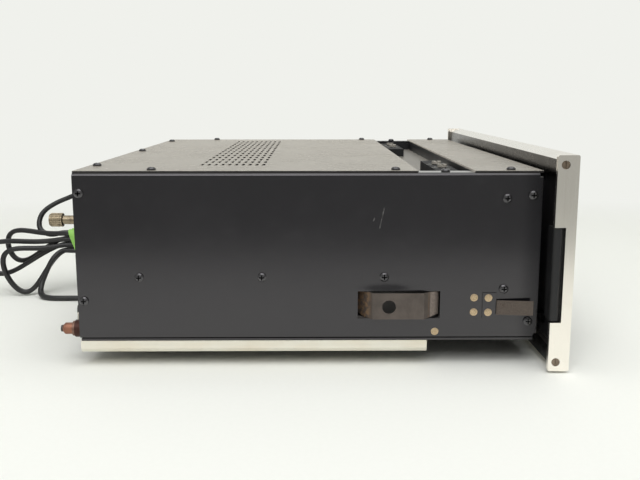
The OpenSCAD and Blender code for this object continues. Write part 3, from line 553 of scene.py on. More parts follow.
@dataclass(frozen=True)
class BrushedMetal(Finish):
    """Bare metal brushed along an axis, with faint stains and, on some pieces, a back in another tone,
    which on the two trims is painted shade.
    """

    along: Axis
    stain: Triple
    stain_share: float = 0.2
    back: Triple | None = None
    back_from: float = 0.0
    back_reach: float = 100.0
    streak_l: float = 45.0
    streak_w: float = 0.22
    streak_depth: float = 0.0015
    stain_size: float = 22.0

    def dress(self, graph: Graph) -> None:
        """Noise stretched along the brushing shifts colour, gloss and height; soft patches stain it.

        Args:
            graph: the finish's node tree.
        """
        stretch = tuple(self.streak_l if part else self.streak_w for part in self.along.value)
        streak = graph.noise(stretch, detail=4, roughness=0.6)
        stain = graph.noise((self.stain_size,) * 3, detail=6, roughness=0.62)
        dull, bright = shade(self.colour, 0.985), shade(self.colour, 1.01)
        colour = graph.mix(graph.ramp(streak, 0.25, 0.75), dull, bright)
        colour = graph.mix(graph.ramp(stain, 0.5, 0.8, 0, self.stain_share), colour, self.stain)
        # On the trims the darker back is painted shade.
        if self.back:
            behind = graph.band(Axis.Y, self.back_from, self.back_from + self.back_reach, 0.05)
            colour = graph.mix(behind, colour, self.back)
        gloss = graph.math(
            "ADD", graph.ramp(streak, 0.2, 0.8, -0.015, 0.02), graph.ramp(stain, 0.45, 0.8, 0, 0.06))
        graph.put(
            Base_Color=colour,
            Metallic=1.0,
            Roughness=graph.math("ADD", gloss, self.roughness),
            Normal=graph.bump(streak, self.streak_depth),
        )


@dataclass(frozen=True)
class CatchSteel(Finish):
    """Grey-brown spring steel of a stop catch: rusty bends, the root one paled as painted light on its
    shaded ramp, a rubbed end and painted shade in its lower corners.
    """

    # Rusty colour, made pale enough to be painted light on the shaded root ramp.
    rust_and_light: Triple
    rubbed: Triple
    # Colour of the painted shade in the lower corners.
    corner_shade: Triple = (10, 9, 9)
    ramp_bend: float = -29.0
    root: float = -20.0
    crease: float = -71.0
    tip: float = -80.0
    low_z: float = 32.5
    root_wedge: tuple[float, float, float] = (-31.0, -17.5, 5.5)
    tip_wedge: tuple[float, float, float] = (-64.0, -80.0, 2.6)
    spot_size: Triple = (4.0, 2.2, 3.2)
    wash_size: float = 9.0
    grain: float = 0.7
    grain_depth: float = 0.012

    def dress(self, graph: Graph) -> None:
        """Bands along Y, broken up by noise, carry the rusty tone, pale enough on the root ramp to be
        painted light there, and the rubbed end; fine lumps roughen it.

        Args:
            graph: the finish's node tree.
        """
        spots = graph.noise(self.spot_size, detail=7, roughness=0.66)
        fine = graph.noise((self.grain,) * 3, detail=4)
        wash = graph.noise((self.wash_size,) * 3, detail=5, roughness=0.6)
        colour = graph.mix(graph.ramp(wash, 0.3, 0.7), shade(self.colour, 0.9), shade(self.colour, 1.08))
        # The rusty band over the root ramp is also painted light on that shaded ramp.
        root = graph.math("MULTIPLY", graph.band(Axis.Y, self.ramp_bend - 3, self.root, 1.6),
                          graph.ramp(spots, 0.38, 0.6))
        line = graph.math("MULTIPLY", graph.band(Axis.Y, self.crease, self.crease + 1.0, 0.8),
                          graph.ramp(spots, 0.35, 0.66, 0, 0.5))
        colour = graph.mix(graph.math("MAXIMUM", root, line), colour, self.rust_and_light)
        end = graph.math("MULTIPLY", graph.band(Axis.Y, self.tip, self.crease - 0.4, 0.4),
                         graph.ramp(fine, 0.3, 0.65, 0.35, 1))
        colour = graph.mix(end, colour, self.rubbed)
        # Painted shade darkens the lower corners.
        graph.put(
            Base_Color=graph.mix(self.corners(graph), colour, self.corner_shade),
            Metallic=0.55,
            Roughness=graph.ramp(wash, 0.3, 0.75, self.roughness, self.roughness + 0.12),
            Normal=graph.bump(fine, self.grain_depth),
        )

    def corners(self, graph: Graph) -> Socket:
        """1 in the lower corners, where shade is painted, under a line that rises toward either end of the
        window.

        Args:
            graph: the finish's node tree.

        Returns:
            The mask output.
        """
        point = graph.place((1, 1, 1))
        along = graph.axis(point, Axis.Y)
        near, end, high = self.root_wedge
        root = graph.ramp(along, near, end, 0, high)
        near, end, high = self.tip_wedge
        reach = graph.math("ADD", root, graph.ramp(along, end, near, high, 0))
        above = graph.math("SUBTRACT", graph.axis(point, Axis.Z), graph.math("ADD", reach, self.low_z))
        return graph.ramp(above, -0.3, 0.3, 1, 0)


@dataclass(frozen=True)
class JackCopper(Finish):
    """Dull copper of a phono jack, with a dark collar at the panel and a paler washer on it."""

    collar: Triple
    washer: Triple
    y_back: float = 156.0
    collar_l: float = 4.9
    washer_t: float = 1.7
    inside_l: float = 20.0
    spot_size: float = 3.0
    grain: float = 0.6
    grain_depth: float = 0.01

    def dress(self, graph: Graph) -> None:
        """Bands along Y tell collar, washer and barrel apart, and spots of noise darken all three.

        Args:
            graph: the finish's node tree.
        """
        spots = graph.noise((self.spot_size,) * 3, detail=7, roughness=0.68)
        fine = graph.noise((self.grain,) * 3, detail=3)
        top = self.y_back + self.collar_l
        colour = graph.mix(graph.band(Axis.Y, top, top + self.washer_t, 0.06), self.colour, self.washer)
        root = self.y_back - self.inside_l
        colour = graph.mix(graph.band(Axis.Y, root, top, 0.06), colour, self.collar)
        graph.put(
            Base_Color=graph.mix(graph.ramp(spots, 0.45, 0.75, 0, 0.55), colour, shade(self.collar, 1.15)),
            Metallic=0.6,
            Roughness=graph.ramp(spots, 0.3, 0.75, self.roughness, self.roughness + 0.18),
            Normal=graph.bump(fine, self.grain_depth),
        )


@dataclass(frozen=True)
class AgedMetal(Finish):
    """Plated or sprung metal with a patina in spots."""

    patina: Triple
    cover: float = 0.4
    spot: float = 5.0
    metal: float = 0.95
    flat: float = 0.0
    grain: float = 0.6
    grain_depth: float = 0.012

    def dress(self, graph: Graph) -> None:
        """Spots of rough noise turn the metal into a duller patina, and flat heads have flatter shading.

        Args:
            graph: the finish's node tree.
        """
        spots = graph.noise((self.spot,) * 3, detail=8, roughness=0.7)
        fine = graph.noise((self.grain,) * 3, detail=3)
        edge = 0.72 - 0.45 * self.cover
        aged = graph.ramp(spots, edge, edge + 0.16)
        colour = graph.mix(graph.ramp(fine, 0.3, 0.7), shade(self.colour, 0.88), shade(self.colour, 1.06))
        graph.put(
            Base_Color=graph.mix(aged, colour, self.patina),
            Metallic=graph.ramp(aged, 0, 1, self.metal, self.metal * 0.35),
            Roughness=graph.math("ADD", graph.ramp(aged, 0, 1, 0, 0.3), self.roughness),
            Normal=graph.bump(
                graph.math("ADD", fine, aged), self.grain_depth,
                normal=graph.flatten(Axis.X, self.flat) if self.flat else None),
        )


@dataclass(frozen=True)
class ScrewBlack(AgedMetal):
    """Blackened screws, with painted shade in their cross recesses."""

    # Colour of the painted shade in the cross recesses.
    recess_shade: Triple = (6, 6, 7)
    side_crown: float = 189.5
    top_crown: float = 130.5
    depth: float = 1.0

    def dress(self, graph: Graph) -> None:
        """The aged metal, with painted shade in the recesses on the sides and on the top.

        Args:
            graph: the finish's node tree.
        """
        super().dress(graph)
        metal = graph.shader.inputs["Base Color"].links[0].from_socket
        recess = graph.math(
            "MAXIMUM",
            self.recess(graph, Axis.X, self.side_crown),
            self.recess(graph, Axis.Z, self.top_crown),
        )
        # Painted shade: the recesses turn near black and lose most of their gloss.
        graph.put(
            Base_Color=graph.mix(recess, metal, self.recess_shade),
            Metallic=graph.math("MULTIPLY", graph.ramp(recess, 0, 1, 1, 0), self.metal),
            Specular_IOR_Level=graph.ramp(recess, 0, 1, 0.5, 0.05),
        )

    def recess(self, graph: Graph, axis: Axis, crown: float) -> Socket:
        """1 on the walls and the floor of the recesses of screws that stand along an axis, where shade is
        painted.

        Args:
            graph: the finish's node tree.
            axis: the way that the screws stand.
            crown: how far out their crowns are, in millimetres.

        Returns:
            The mask output.
        """
        floor_at = crown - self.depth
        at = graph.math("ABSOLUTE", graph.axis(graph.place((1, 1, 1)), axis))
        square = graph.facing(axis, true_face=True)
        wall = graph.ramp(square, 0.2, 0.4, 1, 0)
        low = graph.ramp(at, floor_at + 0.05, floor_at + 0.15, 1, 0)
        floor = graph.math("MULTIPLY", graph.ramp(square, 0.97, 0.99), low)
        above = graph.ramp(at, floor_at - 0.08, floor_at - 0.02)
        return graph.math("MULTIPLY", above, graph.math("MAXIMUM", wall, floor))


@dataclass(frozen=True)
class MouldedPlastic(Finish):
    """Moulded plastic or rubber with a fine grain and scuffs."""

    scuff: Triple
    scuff_size: float = 12.0
    grain: float = 0.5
    grain_depth: float = 0.02

    def dress(self, graph: Graph) -> None:
        """Fine lumps give the grain, and broad ones the scuffs and the change of gloss.

        Args:
            graph: the finish's node tree.
        """
        broad = graph.noise((self.scuff_size,) * 3, detail=6, roughness=0.65)
        grain = graph.noise((self.grain,) * 3, detail=3)
        scuffs = graph.ramp(broad, 0.52, 0.8, 0, 0.4)
        graph.put(
            Base_Color=graph.mix(scuffs, self.colour, self.scuff),
            Roughness=graph.ramp(broad, 0.25, 0.75, self.roughness - 0.06, self.roughness + 0.1),
            Normal=graph.bump(grain, self.grain_depth),
        )


@dataclass(frozen=True)
class CreamRail(Finish):
    """Cream plastic that has yellowed, with rubbed grey marks along its length."""

    yellow: Triple
    mark: Triple
    cloud_size: Triple = (60, 30, 12)
    rub_size: Triple = (6, 38, 0.9)
    rub_depth: float = 0.02

    def dress(self, graph: Graph) -> None:
        """Broad clouds yellow it, and noise stretched along the rail draws the rubbed marks.

        Args:
            graph: the finish's node tree.
        """
        cloud = graph.noise(self.cloud_size, detail=4)
        rub = graph.noise(self.rub_size, detail=5, roughness=0.6)
        colour = graph.mix(graph.ramp(cloud, 0.35, 0.7), self.colour, self.yellow)
        colour = graph.mix(graph.ramp(rub, 0.6, 0.78, 0, 0.4), colour, self.mark)
        graph.put(
            Base_Color=colour,
            Roughness=graph.ramp(rub, 0.3, 0.75, self.roughness - 0.08, self.roughness + 0.12),
            Normal=graph.bump(rub, self.rub_depth),
        )


@dataclass(frozen=True)
class BlackGlass(Finish):
    """Glass painted black behind, with faint smudges in its gloss."""

    smudge: float = 0.07
    smudge_size: Triple = (34, 34, 26)

    def dress(self, graph: Graph) -> None:
        """Broad noise makes the smudges, which only dull the gloss and lift the black a little.

        Args:
            graph: the finish's node tree.
        """
        smudges = graph.noise(self.smudge_size, detail=7, roughness=0.62)
        lifted = shade(self.colour, 1.6)
        graph.put(
            Base_Color=graph.mix(graph.ramp(smudges, 0.45, 0.8, 0, 0.5), self.colour, lifted),
            Roughness=graph.ramp(smudges, 0.35, 0.75, self.roughness, self.roughness + self.smudge),
            IOR=1.52,
            Coat_Weight=0.3,
            Coat_Roughness=0.03,
        )


@dataclass(frozen=True)
class Sheath(Finish):
    """The mains lead's soft sheath: faint wrinkles across it, and a dusty sheen."""

    dust: Triple
    uv: str = "lead_map"
    wrinkle_size: Triple = (1.1, 6.0, 1.0)
    wrinkle_depth: float = 0.05
    dust_size: Triple = (26, 5, 1.0)

    def dress(self, graph: Graph) -> None:
        """The map's u runs along the lead and v round it, both in metres; wrinkles are short along u.

        Args:
            graph: the finish's node tree.
        """
        wrinkle = graph.noise(self.wrinkle_size, detail=4, uv=self.uv)
        dust = graph.noise(self.dust_size, detail=6, roughness=0.66, uv=self.uv)
        graph.put(
            Base_Color=graph.mix(graph.ramp(dust, 0.42, 0.78, 0, 0.55), self.colour, self.dust),
            Roughness=graph.ramp(dust, 0.3, 0.75, self.roughness - 0.05, self.roughness + 0.14),
            Normal=graph.bump(wrinkle, self.wrinkle_depth),
        )


@dataclass(frozen=True)
class CircuitBoard(Finish):
    """A lacquered board with paler tracks under the lacquer."""

    track: Triple
    tracks: float = 9.0
    track_size: Triple = (14, 5, 30)
    track_depth: float = 0.03
    grain: float = 1.2

    def dress(self, graph: Graph) -> None:
        """Narrow bands of a slow noise make the tracks.

        Args:
            graph: the finish's node tree.
        """
        field = graph.noise(self.track_size, detail=1)
        step = graph.math("FRACT", graph.math("MULTIPLY", field, self.tracks))
        band = graph.math("ABSOLUTE", graph.math("SUBTRACT", step, 0.5))
        grain = graph.noise((self.grain,) * 3, detail=3)
        graph.put(
            Base_Color=graph.mix(graph.ramp(band, 0.22, 0.3), self.colour, self.track),
            Roughness=graph.ramp(grain, 0.3, 0.7, self.roughness, self.roughness + 0.15),
            Normal=graph.bump(band, self.track_depth),
        )


# The finishes of this part

# Its gloss carries painted shade toward the front edge and painted light lower down.
BLACK_PAINT = SatinPaint(
    "satin_black_paint", (17, 17, 20), 0.17, dust=(58, 57, 59), specular=0.85, tint=(253, 249, 253),
    scratches=(
        Scratch((-187.5, -39.5, 98.2), 16.5, 12),
        Scratch((-187.5, -34.4, 97.3), 3.0, 20),
    ),
    bulge=Bulge((-187.5, -43, 50.5), (20, 13, 3), 0.5),
    tight=(19.6, 125.7), front_edge=-141, rise=(1.06, 0.96),
)
# Its lighter long edges are partly worn paint and partly a painted highlight.
COVER_PAINT = SatinPaint(
    "satin_cover_paint", (30, 29, 32), 0.25, dust=(66, 65, 67), tint=(255, 249, 238), film=0.74,
    edge_wear_and_highlight=185.5,
)
# Its paler floor is partly settled dust and partly a painted reflection.
TRAY_PAINT = SatinPaint(
    "tray_paint", (24, 24, 27), 0.35, dust=(70, 69, 67), film=0.5, dust_and_reflection_z=118.6, settled=(92, 90, 86),
)
POCKET_PAINT = SatinPaint("pocket_paint", (88, 86, 84), 0.5, dust=(112, 109, 104))
PLATE_PAINT = SatinPaint("panel_plate_paint", (38, 36, 39), 0.5, dust=(74, 71, 70), dust_share=0.3)
INNER_STEEL = BrushedMetal("zinc_steel", (150, 148, 142), 0.42, Axis.X, stain=(120, 112, 98))
CAP_ALUMINIUM = BrushedMetal("cap_aluminium", (254, 248, 239), 0.22, Axis.Z, stain=(234, 223, 208))
# The dark back is painted shade.
TOP_ALUMINIUM = BrushedMetal(
    "top_trim_aluminium", (238, 235, 229), 0.27, Axis.X, stain=(206, 198, 186),
    back=(92, 88, 84), back_from=-148.1,
)
# The near-black back is painted shade.
LOW_ALUMINIUM = BrushedMetal(
    "low_trim_aluminium", (238, 235, 229), 0.27, Axis.X, stain=(206, 198, 186),
    back=(34, 33, 34), back_from=-148.1,
)
KNOB_ALUMINIUM = BrushedMetal(
    "knob_aluminium", (214, 212, 207), 0.28, Axis.Y, stain=(178, 172, 162),
    back=(36, 35, 36), back_from=-156.0,
)
GLASS = BlackGlass("black_glass", (9, 10, 12), 0.04)
BRASS = AgedMetal(
    "rivet_brass", (204, 182, 150), 0.4, patina=(164, 139, 110), cover=0.4, spot=2.0, flat=0.8,
)
SPRING = AgedMetal(
    "bronzed_spring", (100, 91, 85), 0.4, patina=(78, 65, 56), cover=0.35, spot=4.5, metal=0.85,
)
CATCH_STEEL = CatchSteel("catch_steel", (94, 86, 81), 0.42, rust_and_light=(146, 118, 92), rubbed=(150, 138, 130))
SCREW_BLACK = ScrewBlack(
    "black_oxide", (94, 93, 95), 0.26, patina=(44, 43, 44), cover=0.25, spot=2.0, metal=0.9,
)
CAP_SCREW = AgedMetal("dull_screw", (142, 128, 113), 0.42, patina=(104, 86, 68), cover=0.4, spot=1.8)
COPPER = JackCopper("jack_copper", (153, 106, 85), 0.42, collar=(66, 40, 33), washer=(132, 104, 90))
NICKEL = AgedMetal("post_nickel", (154, 141, 119), 0.36, patina=(114, 101, 83), cover=0.45, spot=3.0)
BLADE_NICKEL = AgedMetal(
    "blade_nickel", (196, 192, 182), 0.26, patina=(150, 140, 120), cover=0.25, spot=3.0,
)
CREAM = CreamRail("cream_rail_plastic", (230, 227, 213), 0.42, yellow=(226, 219, 201), mark=(176, 169, 153))
BLOCK_PLASTIC = MouldedPlastic("block_plastic", (11, 11, 13), 0.72, scuff=(26, 26, 27))
BLACK_PLASTIC = MouldedPlastic("black_plastic", (22, 22, 24), 0.42, scuff=(48, 47, 47))
GREY_PLASTIC = MouldedPlastic("grey_plastic", (160, 155, 146), 0.45, scuff=(128, 121, 110))
PHENOLIC = MouldedPlastic("brown_phenolic", (98, 74, 46), 0.5, scuff=(132, 104, 70))
RUBBER = MouldedPlastic("foot_rubber", (28, 28, 29), 0.7, scuff=(70, 69, 67), grain=0.8, grain_depth=0.05)
INSULATOR = MouldedPlastic("jack_insulator", (66, 62, 58), 0.5, scuff=(94, 88, 82))
TIE_GREEN = MouldedPlastic(
    "tie_green", (142, 198, 92), 0.5, scuff=(182, 214, 140), grain=1.6, grain_depth=0.12,
)
MARK_WHITE = MouldedPlastic("white_print", (224, 223, 217), 0.6, scuff=(196, 194, 188))
LEAD_SHEATH = Sheath("lead_sheath", (26, 26, 27), 0.4, dust=(62, 62, 60))
BOARD = CircuitBoard("green_board", (44, 74, 42), 0.4, track=(92, 118, 66))


# Surfaces


@dataclass
class Patch:
    """A grid of points in millimetres, rows by columns by 3, which may be closed either way round."""

    points: Array
    close_rows: bool = False
    close_columns: bool = True

    def faces(self) -> Array:
        """Four corners for each cell of the grid, wrapped where the grid is closed.

        Returns:
            An array of faces by 4 indices.
        """
        rows, columns = self.points.shape[:2]
        index = np.arange(rows * columns).reshape(rows, columns)
        if self.close_rows:
            index = np.vstack([index, index[:1]])
        if self.close_columns:
            index = np.hstack([index, index[:, :1]])
        corners = [index[:-1, :-1], index[1:, :-1], index[1:, 1:], index[:-1, 1:]]
        return np.stack(corners, axis=-1).reshape(-1, 4)


@dataclass
class Piece:
    """A new piece of the object: its patches, finish, the body that it rides on and its slot, which is not
    used.
    """

    name: str
    patches: list[Patch]
    finish: Finish
    body: str
    slot: str
    sharp: float = 38

    def build(self, uv: Array | None = None, uv_name: str = "") -> bpy.types.Object:
        """Makes the mesh: joins the patches, merges doubled points, and turns the faces outwards.

        Args:
            uv: a map for each corner of each face, or None.
            uv_name: the map's name.

        Returns:
            The object, riding on its body.
        """
        starts = np.cumsum([0] + [p.points.shape[0] * p.points.shape[1] for p in self.patches])
        points = np.concatenate([p.points.reshape(-1, 3) for p in self.patches]) * MM
        faces = np.concatenate([p.faces() + start for p, start in zip(self.patches, starts)])
        mesh = bpy.data.meshes.new(self.name)
        mesh.from_pydata(points.tolist(), [], faces.tolist())
        if uv is not None:
            mesh.uv_layers.new(name=uv_name).data.foreach_set("uv", uv.astype(np.float32).ravel())
        work = bmesh.new()
        work.from_mesh(mesh)
        bmesh.ops.remove_doubles(work, verts=work.verts, dist=MERGE_WITHIN * MM)
        bmesh.ops.dissolve_degenerate(work, edges=work.edges, dist=SLIVER_WITHIN * MM)
        bmesh.ops.recalc_face_normals(work, faces=work.faces)
        work.to_mesh(mesh)
        work.free()
        mesh.polygons.foreach_set("use_smooth", np.ones(len(mesh.polygons), bool))
        mesh.set_sharp_from_angle(angle=math.radians(self.sharp))
        mesh.materials.append(self.finish.material())
        piece = bpy.data.objects.new(self.name, mesh)
        bpy.context.scene.collection.objects.link(piece)
        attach(piece, self.body)
        LOG.info("%s: %d faces on %s", self.name, len(mesh.polygons), self.body)
        return piece


def unit(vectors: Array) -> Array:
    """The vectors along the last axis, each divided by its length."""
    return vectors / np.linalg.norm(vectors, axis=-1, keepdims=True)


def smooth_step(value: Array, start: float, end: float) -> Array:
    """3t^2 - 2t^3, with t the share of the way from start to end, kept between 0 and 1."""
    t = np.clip((value - start) / (end - start), 0, 1)
    return t * t * (3 - 2 * t)


def spline(points: Array, step: float) -> Array:
    """A natural cubic spline through points, over the length of their chords.

    The second derivatives m solve h[i-1] m[i-1] + 2 (h[i-1] + h[i]) m[i] + h[i] m[i+1] = 6 (d[i] - d[i-1]),
    with h the chord lengths, d the slopes, and m = 0 at both ends.

    Args:
        points: the points, in millimetres.
        step: about how far apart the results lie.

    Returns:
        Points along the spline.
    """
    chord = np.linalg.norm(np.diff(points, axis=0), axis=1)
    slope = np.diff(points, axis=0) / chord[:, None]
    inner = np.diag(2 * (chord[:-1] + chord[1:])) + np.diag(chord[1:-1], 1) + np.diag(chord[1:-1], -1)
    bend = np.zeros_like(points)
    bend[1:-1] = np.linalg.solve(inner, 6 * np.diff(slope, axis=0))
    knots = np.concatenate([[0], np.cumsum(chord)])
    at = np.linspace(0, knots[-1], max(2, int(knots[-1] / step)))
    i = np.clip(np.searchsorted(knots, at, side="right") - 1, 0, len(chord) - 1)
    h = chord[i][:, None]
    b = ((at - knots[i]) / chord[i])[:, None]
    a = 1 - b
    cubic = ((a**3 - a) * bend[i] + (b**3 - b) * bend[i + 1]) * h**2 / 6
    return a * points[i] + b * points[i + 1] + cubic


def directions(path: Array) -> Array:
    """Unit directions along a path of points."""
    return unit(np.gradient(path, axis=0))


def swept(path: Array, wide: Array, section: Array) -> Patch:
    """A section carried along a path, with its ends closed to a point.

    A point of the surface is path + x * wide + y * (direction cross wide), for each x, y of the section,
    where wide is first made square to the direction.

    Args:
        path: points along the middle.
        wide: for each of them, about where the section's x axis points.
        section: x and y of the outline's points.

    Returns:
        The closed patch.
    """
    along = directions(path)
    wide = unit(wide - (wide * along).sum(-1, keepdims=True) * along)
    thin = np.cross(along, wide)
    skin = path[:, None] + section[None, :, :1] * wide[:, None] + section[None, :, 1:] * thin[:, None]
    ends = [np.repeat(path[i][None, None], len(section), axis=1) for i in (0, -1)]
    return Patch(np.concatenate([ends[0], skin, ends[1]]))


def turned(profile: Array, origin: Array, axis: Axis, steps: int = 40) -> Patch:
    """A profile turned round an axis.

    A point is origin + along * axis + radius * (cos u, sin u), the last in the plane across the axis.

    Args:
        profile: radius and distance along the axis, from end to end.
        origin: where the distance is 0.
        axis: the axis.
        steps: points round it.

    Returns:
        The patch, which is closed where the profile starts and ends at radius 0, or meets itself.
    """
    u = np.linspace(0, 2 * np.pi, steps, endpoint=False)
    first = np.roll(axis.line, 1)
    second = np.cross(axis.line, first)
    ring = np.cos(u)[:, None] * first + np.sin(u)[:, None] * second
    points = origin + profile[:, None, 1:] * axis.line + profile[:, None, :1] * ring[None]
    return Patch(points)


def boxes(centres: Array, across: Array, up: Array, out: Array) -> list[Patch]:
    """Small flat boxes, each a four-cornered section closed to a point at both ends.

    A corner is centre +- across +- up at either end of out.

    Args:
        centres: middle of each box's back face.
        across: half its width, as a vector for each box.
        up: half its height, as a vector for each box.
        out: its thickness, as a vector for all boxes.

    Returns:
        One patch for each box.
    """
    signs = np.array([[-1, -1], [1, -1], [1, 1], [-1, 1]])
    corners = signs[:, :1] * across[:, None] + signs[:, 1:] * up[:, None]
    back = centres[:, None] + corners
    front = back + out
    start = np.broadcast_to(centres[:, None], back.shape)
    rows = np.stack([start, back, front, start + out], axis=1)
    return [Patch(points) for points in rows]


def superellipse(half_x: float, half_y: float, power: float, count: int) -> Array:
    """Points of |x / half_x|^power + |y / half_y|^power = 1, by angle.

    Args:
        half_x: half its width.
        half_y: half its height.
        power: 2 for an ellipse, more for a squarer form.
        count: how many points.

    Returns:
        x and y of each point.
    """
    u = np.linspace(0, 2 * np.pi, count, endpoint=False)
    wave = np.stack([np.cos(u), np.sin(u)], axis=1)
    return np.sign(wave) * np.abs(wave) ** (2 / power) * np.array([half_x, half_y])


def dress(finish: Finish, *nodes: str) -> None:
    """Gives CAD nodes a finish.

    Args:
        finish: the finish.
        nodes: the nodes' names.
    """
    for name in nodes:
        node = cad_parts[name]
        for slot in node.material_slots:
            slot.material = finish.material()
        LOG.info("%s: %s", name, finish.name)


# The camera and the studio


@dataclass
class PhotoCamera:
    """The photograph's camera: its place, the way that it looks and its lens."""

    place: Triple = (-691.8, 4.9, 175.0)
    yaw: float = 0.559
    pitch: float = 10.191
    lens: float = 45.06
    sensor: float = 36.0
    nearest: float = 20.0

    def build(self) -> None:
        """Makes the camera: it looks along +X, turned toward -Y by yaw and down by pitch."""
        yaw = math.radians(self.yaw)
        pitch = math.radians(self.pitch)
        level = math.cos(pitch)
        ahead = Vector((math.cos(yaw) * level, -math.sin(yaw) * level, -math.sin(pitch)))
        data = bpy.data.cameras.new("photo_camera")
        data.lens = self.lens
        data.sensor_width = self.sensor
        data.clip_start = self.nearest * MM
        camera = bpy.data.objects.new("photo_camera", data)
        bpy.context.scene.collection.objects.link(camera)
        right = ahead.cross(Vector(Axis.Z.value)).normalized()
        turn = Matrix((right, right.cross(ahead), -ahead)).transposed()
        camera.matrix_world = Matrix.Translation(Vector(self.place) * MM) @ turn.to_4x4()
        bpy.context.scene.camera = camera


@dataclass(frozen=True)
class Lamp:
    """A square soft lamp that faces the object; its place, size and aim are in metres."""

    name: str
    place: Triple
    size: float
    power: float
    aim: Triple = (0, 0, 0.05)

    def build(self) -> None:
        """Makes the lamp and turns it to the object's middle."""
        data = bpy.data.lights.new(self.name, "AREA")
        data.size = self.size
        data.energy = self.power
        lamp = bpy.data.objects.new(self.name, data)
        bpy.context.scene.collection.objects.link(lamp)
        lamp.location = self.place
        lamp.rotation_mode = "QUATERNION"
        lamp.rotation_quaternion = (Vector(self.aim) - Vector(self.place)).to_track_quat("-Z", "Y")


@dataclass
class Studio:
    """A pale sweep under and behind the object, two soft lamps and a dim room round it."""

    reach: float = 2600
    near_edge: float = -560
    far_edge: float = 900
    curve: float = 500
    curve_steps: int = 24
    floor_steps: int = 11
    height: float = 2200
    paper: Triple = (243, 244, 239)
    room: float = 0.41
    backdrop: float = 0.88
    beyond: float = 6000
    beyond_z: float = -1.0
    clear_centre: Triple = (100, 0, 0)
    clear_size: Triple = (700, 900, 900)
    lamps: tuple[Lamp, ...] = (
        Lamp("overhead_lamp", (-0.4, -0.15, 1.9), 2.0, 20.5),
        Lamp("front_lamp", (-1.45, 0.2, 1.4), 1.2, 16.0),
    )

    def build(self) -> None:
        """Makes the sweep, the lamps and the world."""
        bpy.context.scene.view_settings.view_transform = "Standard"
        self.build_sweep()
        self.build_beyond()
        for lamp in self.lamps:
            lamp.build()
        self.build_world()

    def profile(self) -> Array:
        """The sweep's line: along the floor, round a quarter circle, and up.

        Returns:
            x and z of its points, in millimetres.
        """
        u = np.linspace(0, np.pi / 2, self.curve_steps)
        bend = np.stack([self.far_edge + self.curve * np.sin(u), self.curve * (1 - np.cos(u))], axis=1)
        x = np.linspace(self.near_edge, self.far_edge, self.floor_steps, endpoint=False)
        floor = np.stack([x, np.zeros_like(x)], axis=1)
        return np.concatenate([floor, bend, [[self.far_edge + self.curve, self.height]]])

    def build_sweep(self) -> None:
        """Carries the sweep's line across the scene."""
        line = self.profile()
        sides = np.array([-self.reach, self.reach])
        x, y, z = np.broadcast_arrays(line[:, None, 0], sides, line[:, None, 1])
        self.stage("sweep", np.stack([x, y, z], axis=-1), self.paper_material())

    def build_beyond(self) -> None:
        """Lays a wide pale field just under the floor, for views that look past the sweep's edges."""
        corner = np.array([-self.beyond, self.beyond])
        x, y = np.meshgrid(corner, corner, indexing="ij")
        points = np.stack([x, y, np.full_like(x, self.beyond_z, dtype=float)], axis=-1)
        self.stage("beyond", points, self.beyond_material())

    def stage(self, name: str, points: Array, material: bpy.types.Material) -> None:
        """Makes a grid of points into a piece of the stage.

        Args:
            name: its name.
            points: rows by columns by 3, in millimetres.
            material: its material.
        """
        mesh = bpy.data.meshes.new(name)
        patch = Patch(points, close_columns=False)
        mesh.from_pydata((points.reshape(-1, 3) * MM).tolist(), [], patch.faces()[:, ::-1].tolist())
        mesh.polygons.foreach_set("use_smooth", np.ones(len(mesh.polygons), bool))
        mesh.materials.append(material)
        piece = bpy.data.objects.new(name, mesh)
        bpy.context.scene.collection.objects.link(piece)

    def pale(self, graph: Graph) -> bpy.types.Node:
        """The backdrop's even tone, as an emission node.

        Args:
            graph: the material's node tree.

        Returns:
            The node.
        """
        node = graph.nodes.new("ShaderNodeEmission")
        node.inputs["Color"].default_value = tone(self.paper)
        node.inputs["Strength"].default_value = self.backdrop / tone(self.paper)[1]
        return node

    def join(self, graph: Graph, share: Socket, first: Socket, second: Socket) -> None:
        """Ends a stage material in a mix of two shaders.

        Args:
            graph: the material's node tree.
            share: how much of the second shader.
            first: the first shader's output.
            second: the second shader's output.
        """
        both = graph.nodes.new("ShaderNodeMixShader")
        for socket, value in zip(both.inputs, (share, first, second)):
            graph.feed(socket, value)
        output = next(n for n in graph.nodes if n.type == "OUTPUT_MATERIAL")
        graph.feed(output.inputs["Surface"], both.outputs[0])

    def beyond_material(self) -> bpy.types.Material:
        """The backdrop's tone for the camera, and nothing for other rays.

        Returns:
            The material.
        """
        graph = Graph("beyond_paper")
        clear = graph.nodes.new("ShaderNodeBsdfTransparent").outputs[0]
        camera = graph.nodes.new("ShaderNodeLightPath").outputs["Is Camera Ray"]
        self.join(graph, camera, clear, self.pale(graph).outputs[0])
        return graph.material

    def paper_material(self) -> bpy.types.Material:
        """Matt paper that takes the object's shadow, and shows an even pale tone far behind it.

        Returns:
            The material.
        """
        graph = Graph("sweep_paper")
        grain = graph.noise((3, 3, 3), detail=4)
        graph.put(
            Base_Color=graph.mix(graph.ramp(grain, 0.3, 0.7), shade(self.paper, 0.995), self.paper),
            Roughness=0.9,
            Specular_IOR_Level=0.1,
        )
        path = graph.nodes.new("ShaderNodeLightPath").outputs
        seen = graph.math("MAXIMUM", path["Is Camera Ray"], path["Is Glossy Ray"])
        seen = graph.math("MAXIMUM", seen, path["Is Transmission Ray"])
        away = graph.ramp(graph.length(graph.place(self.clear_size, self.clear_centre)), 0.5, 1.0)
        share = graph.math("MULTIPLY", seen, away)
        self.join(graph, share, graph.shader.outputs[0], self.pale(graph).outputs[0])
        return graph.material

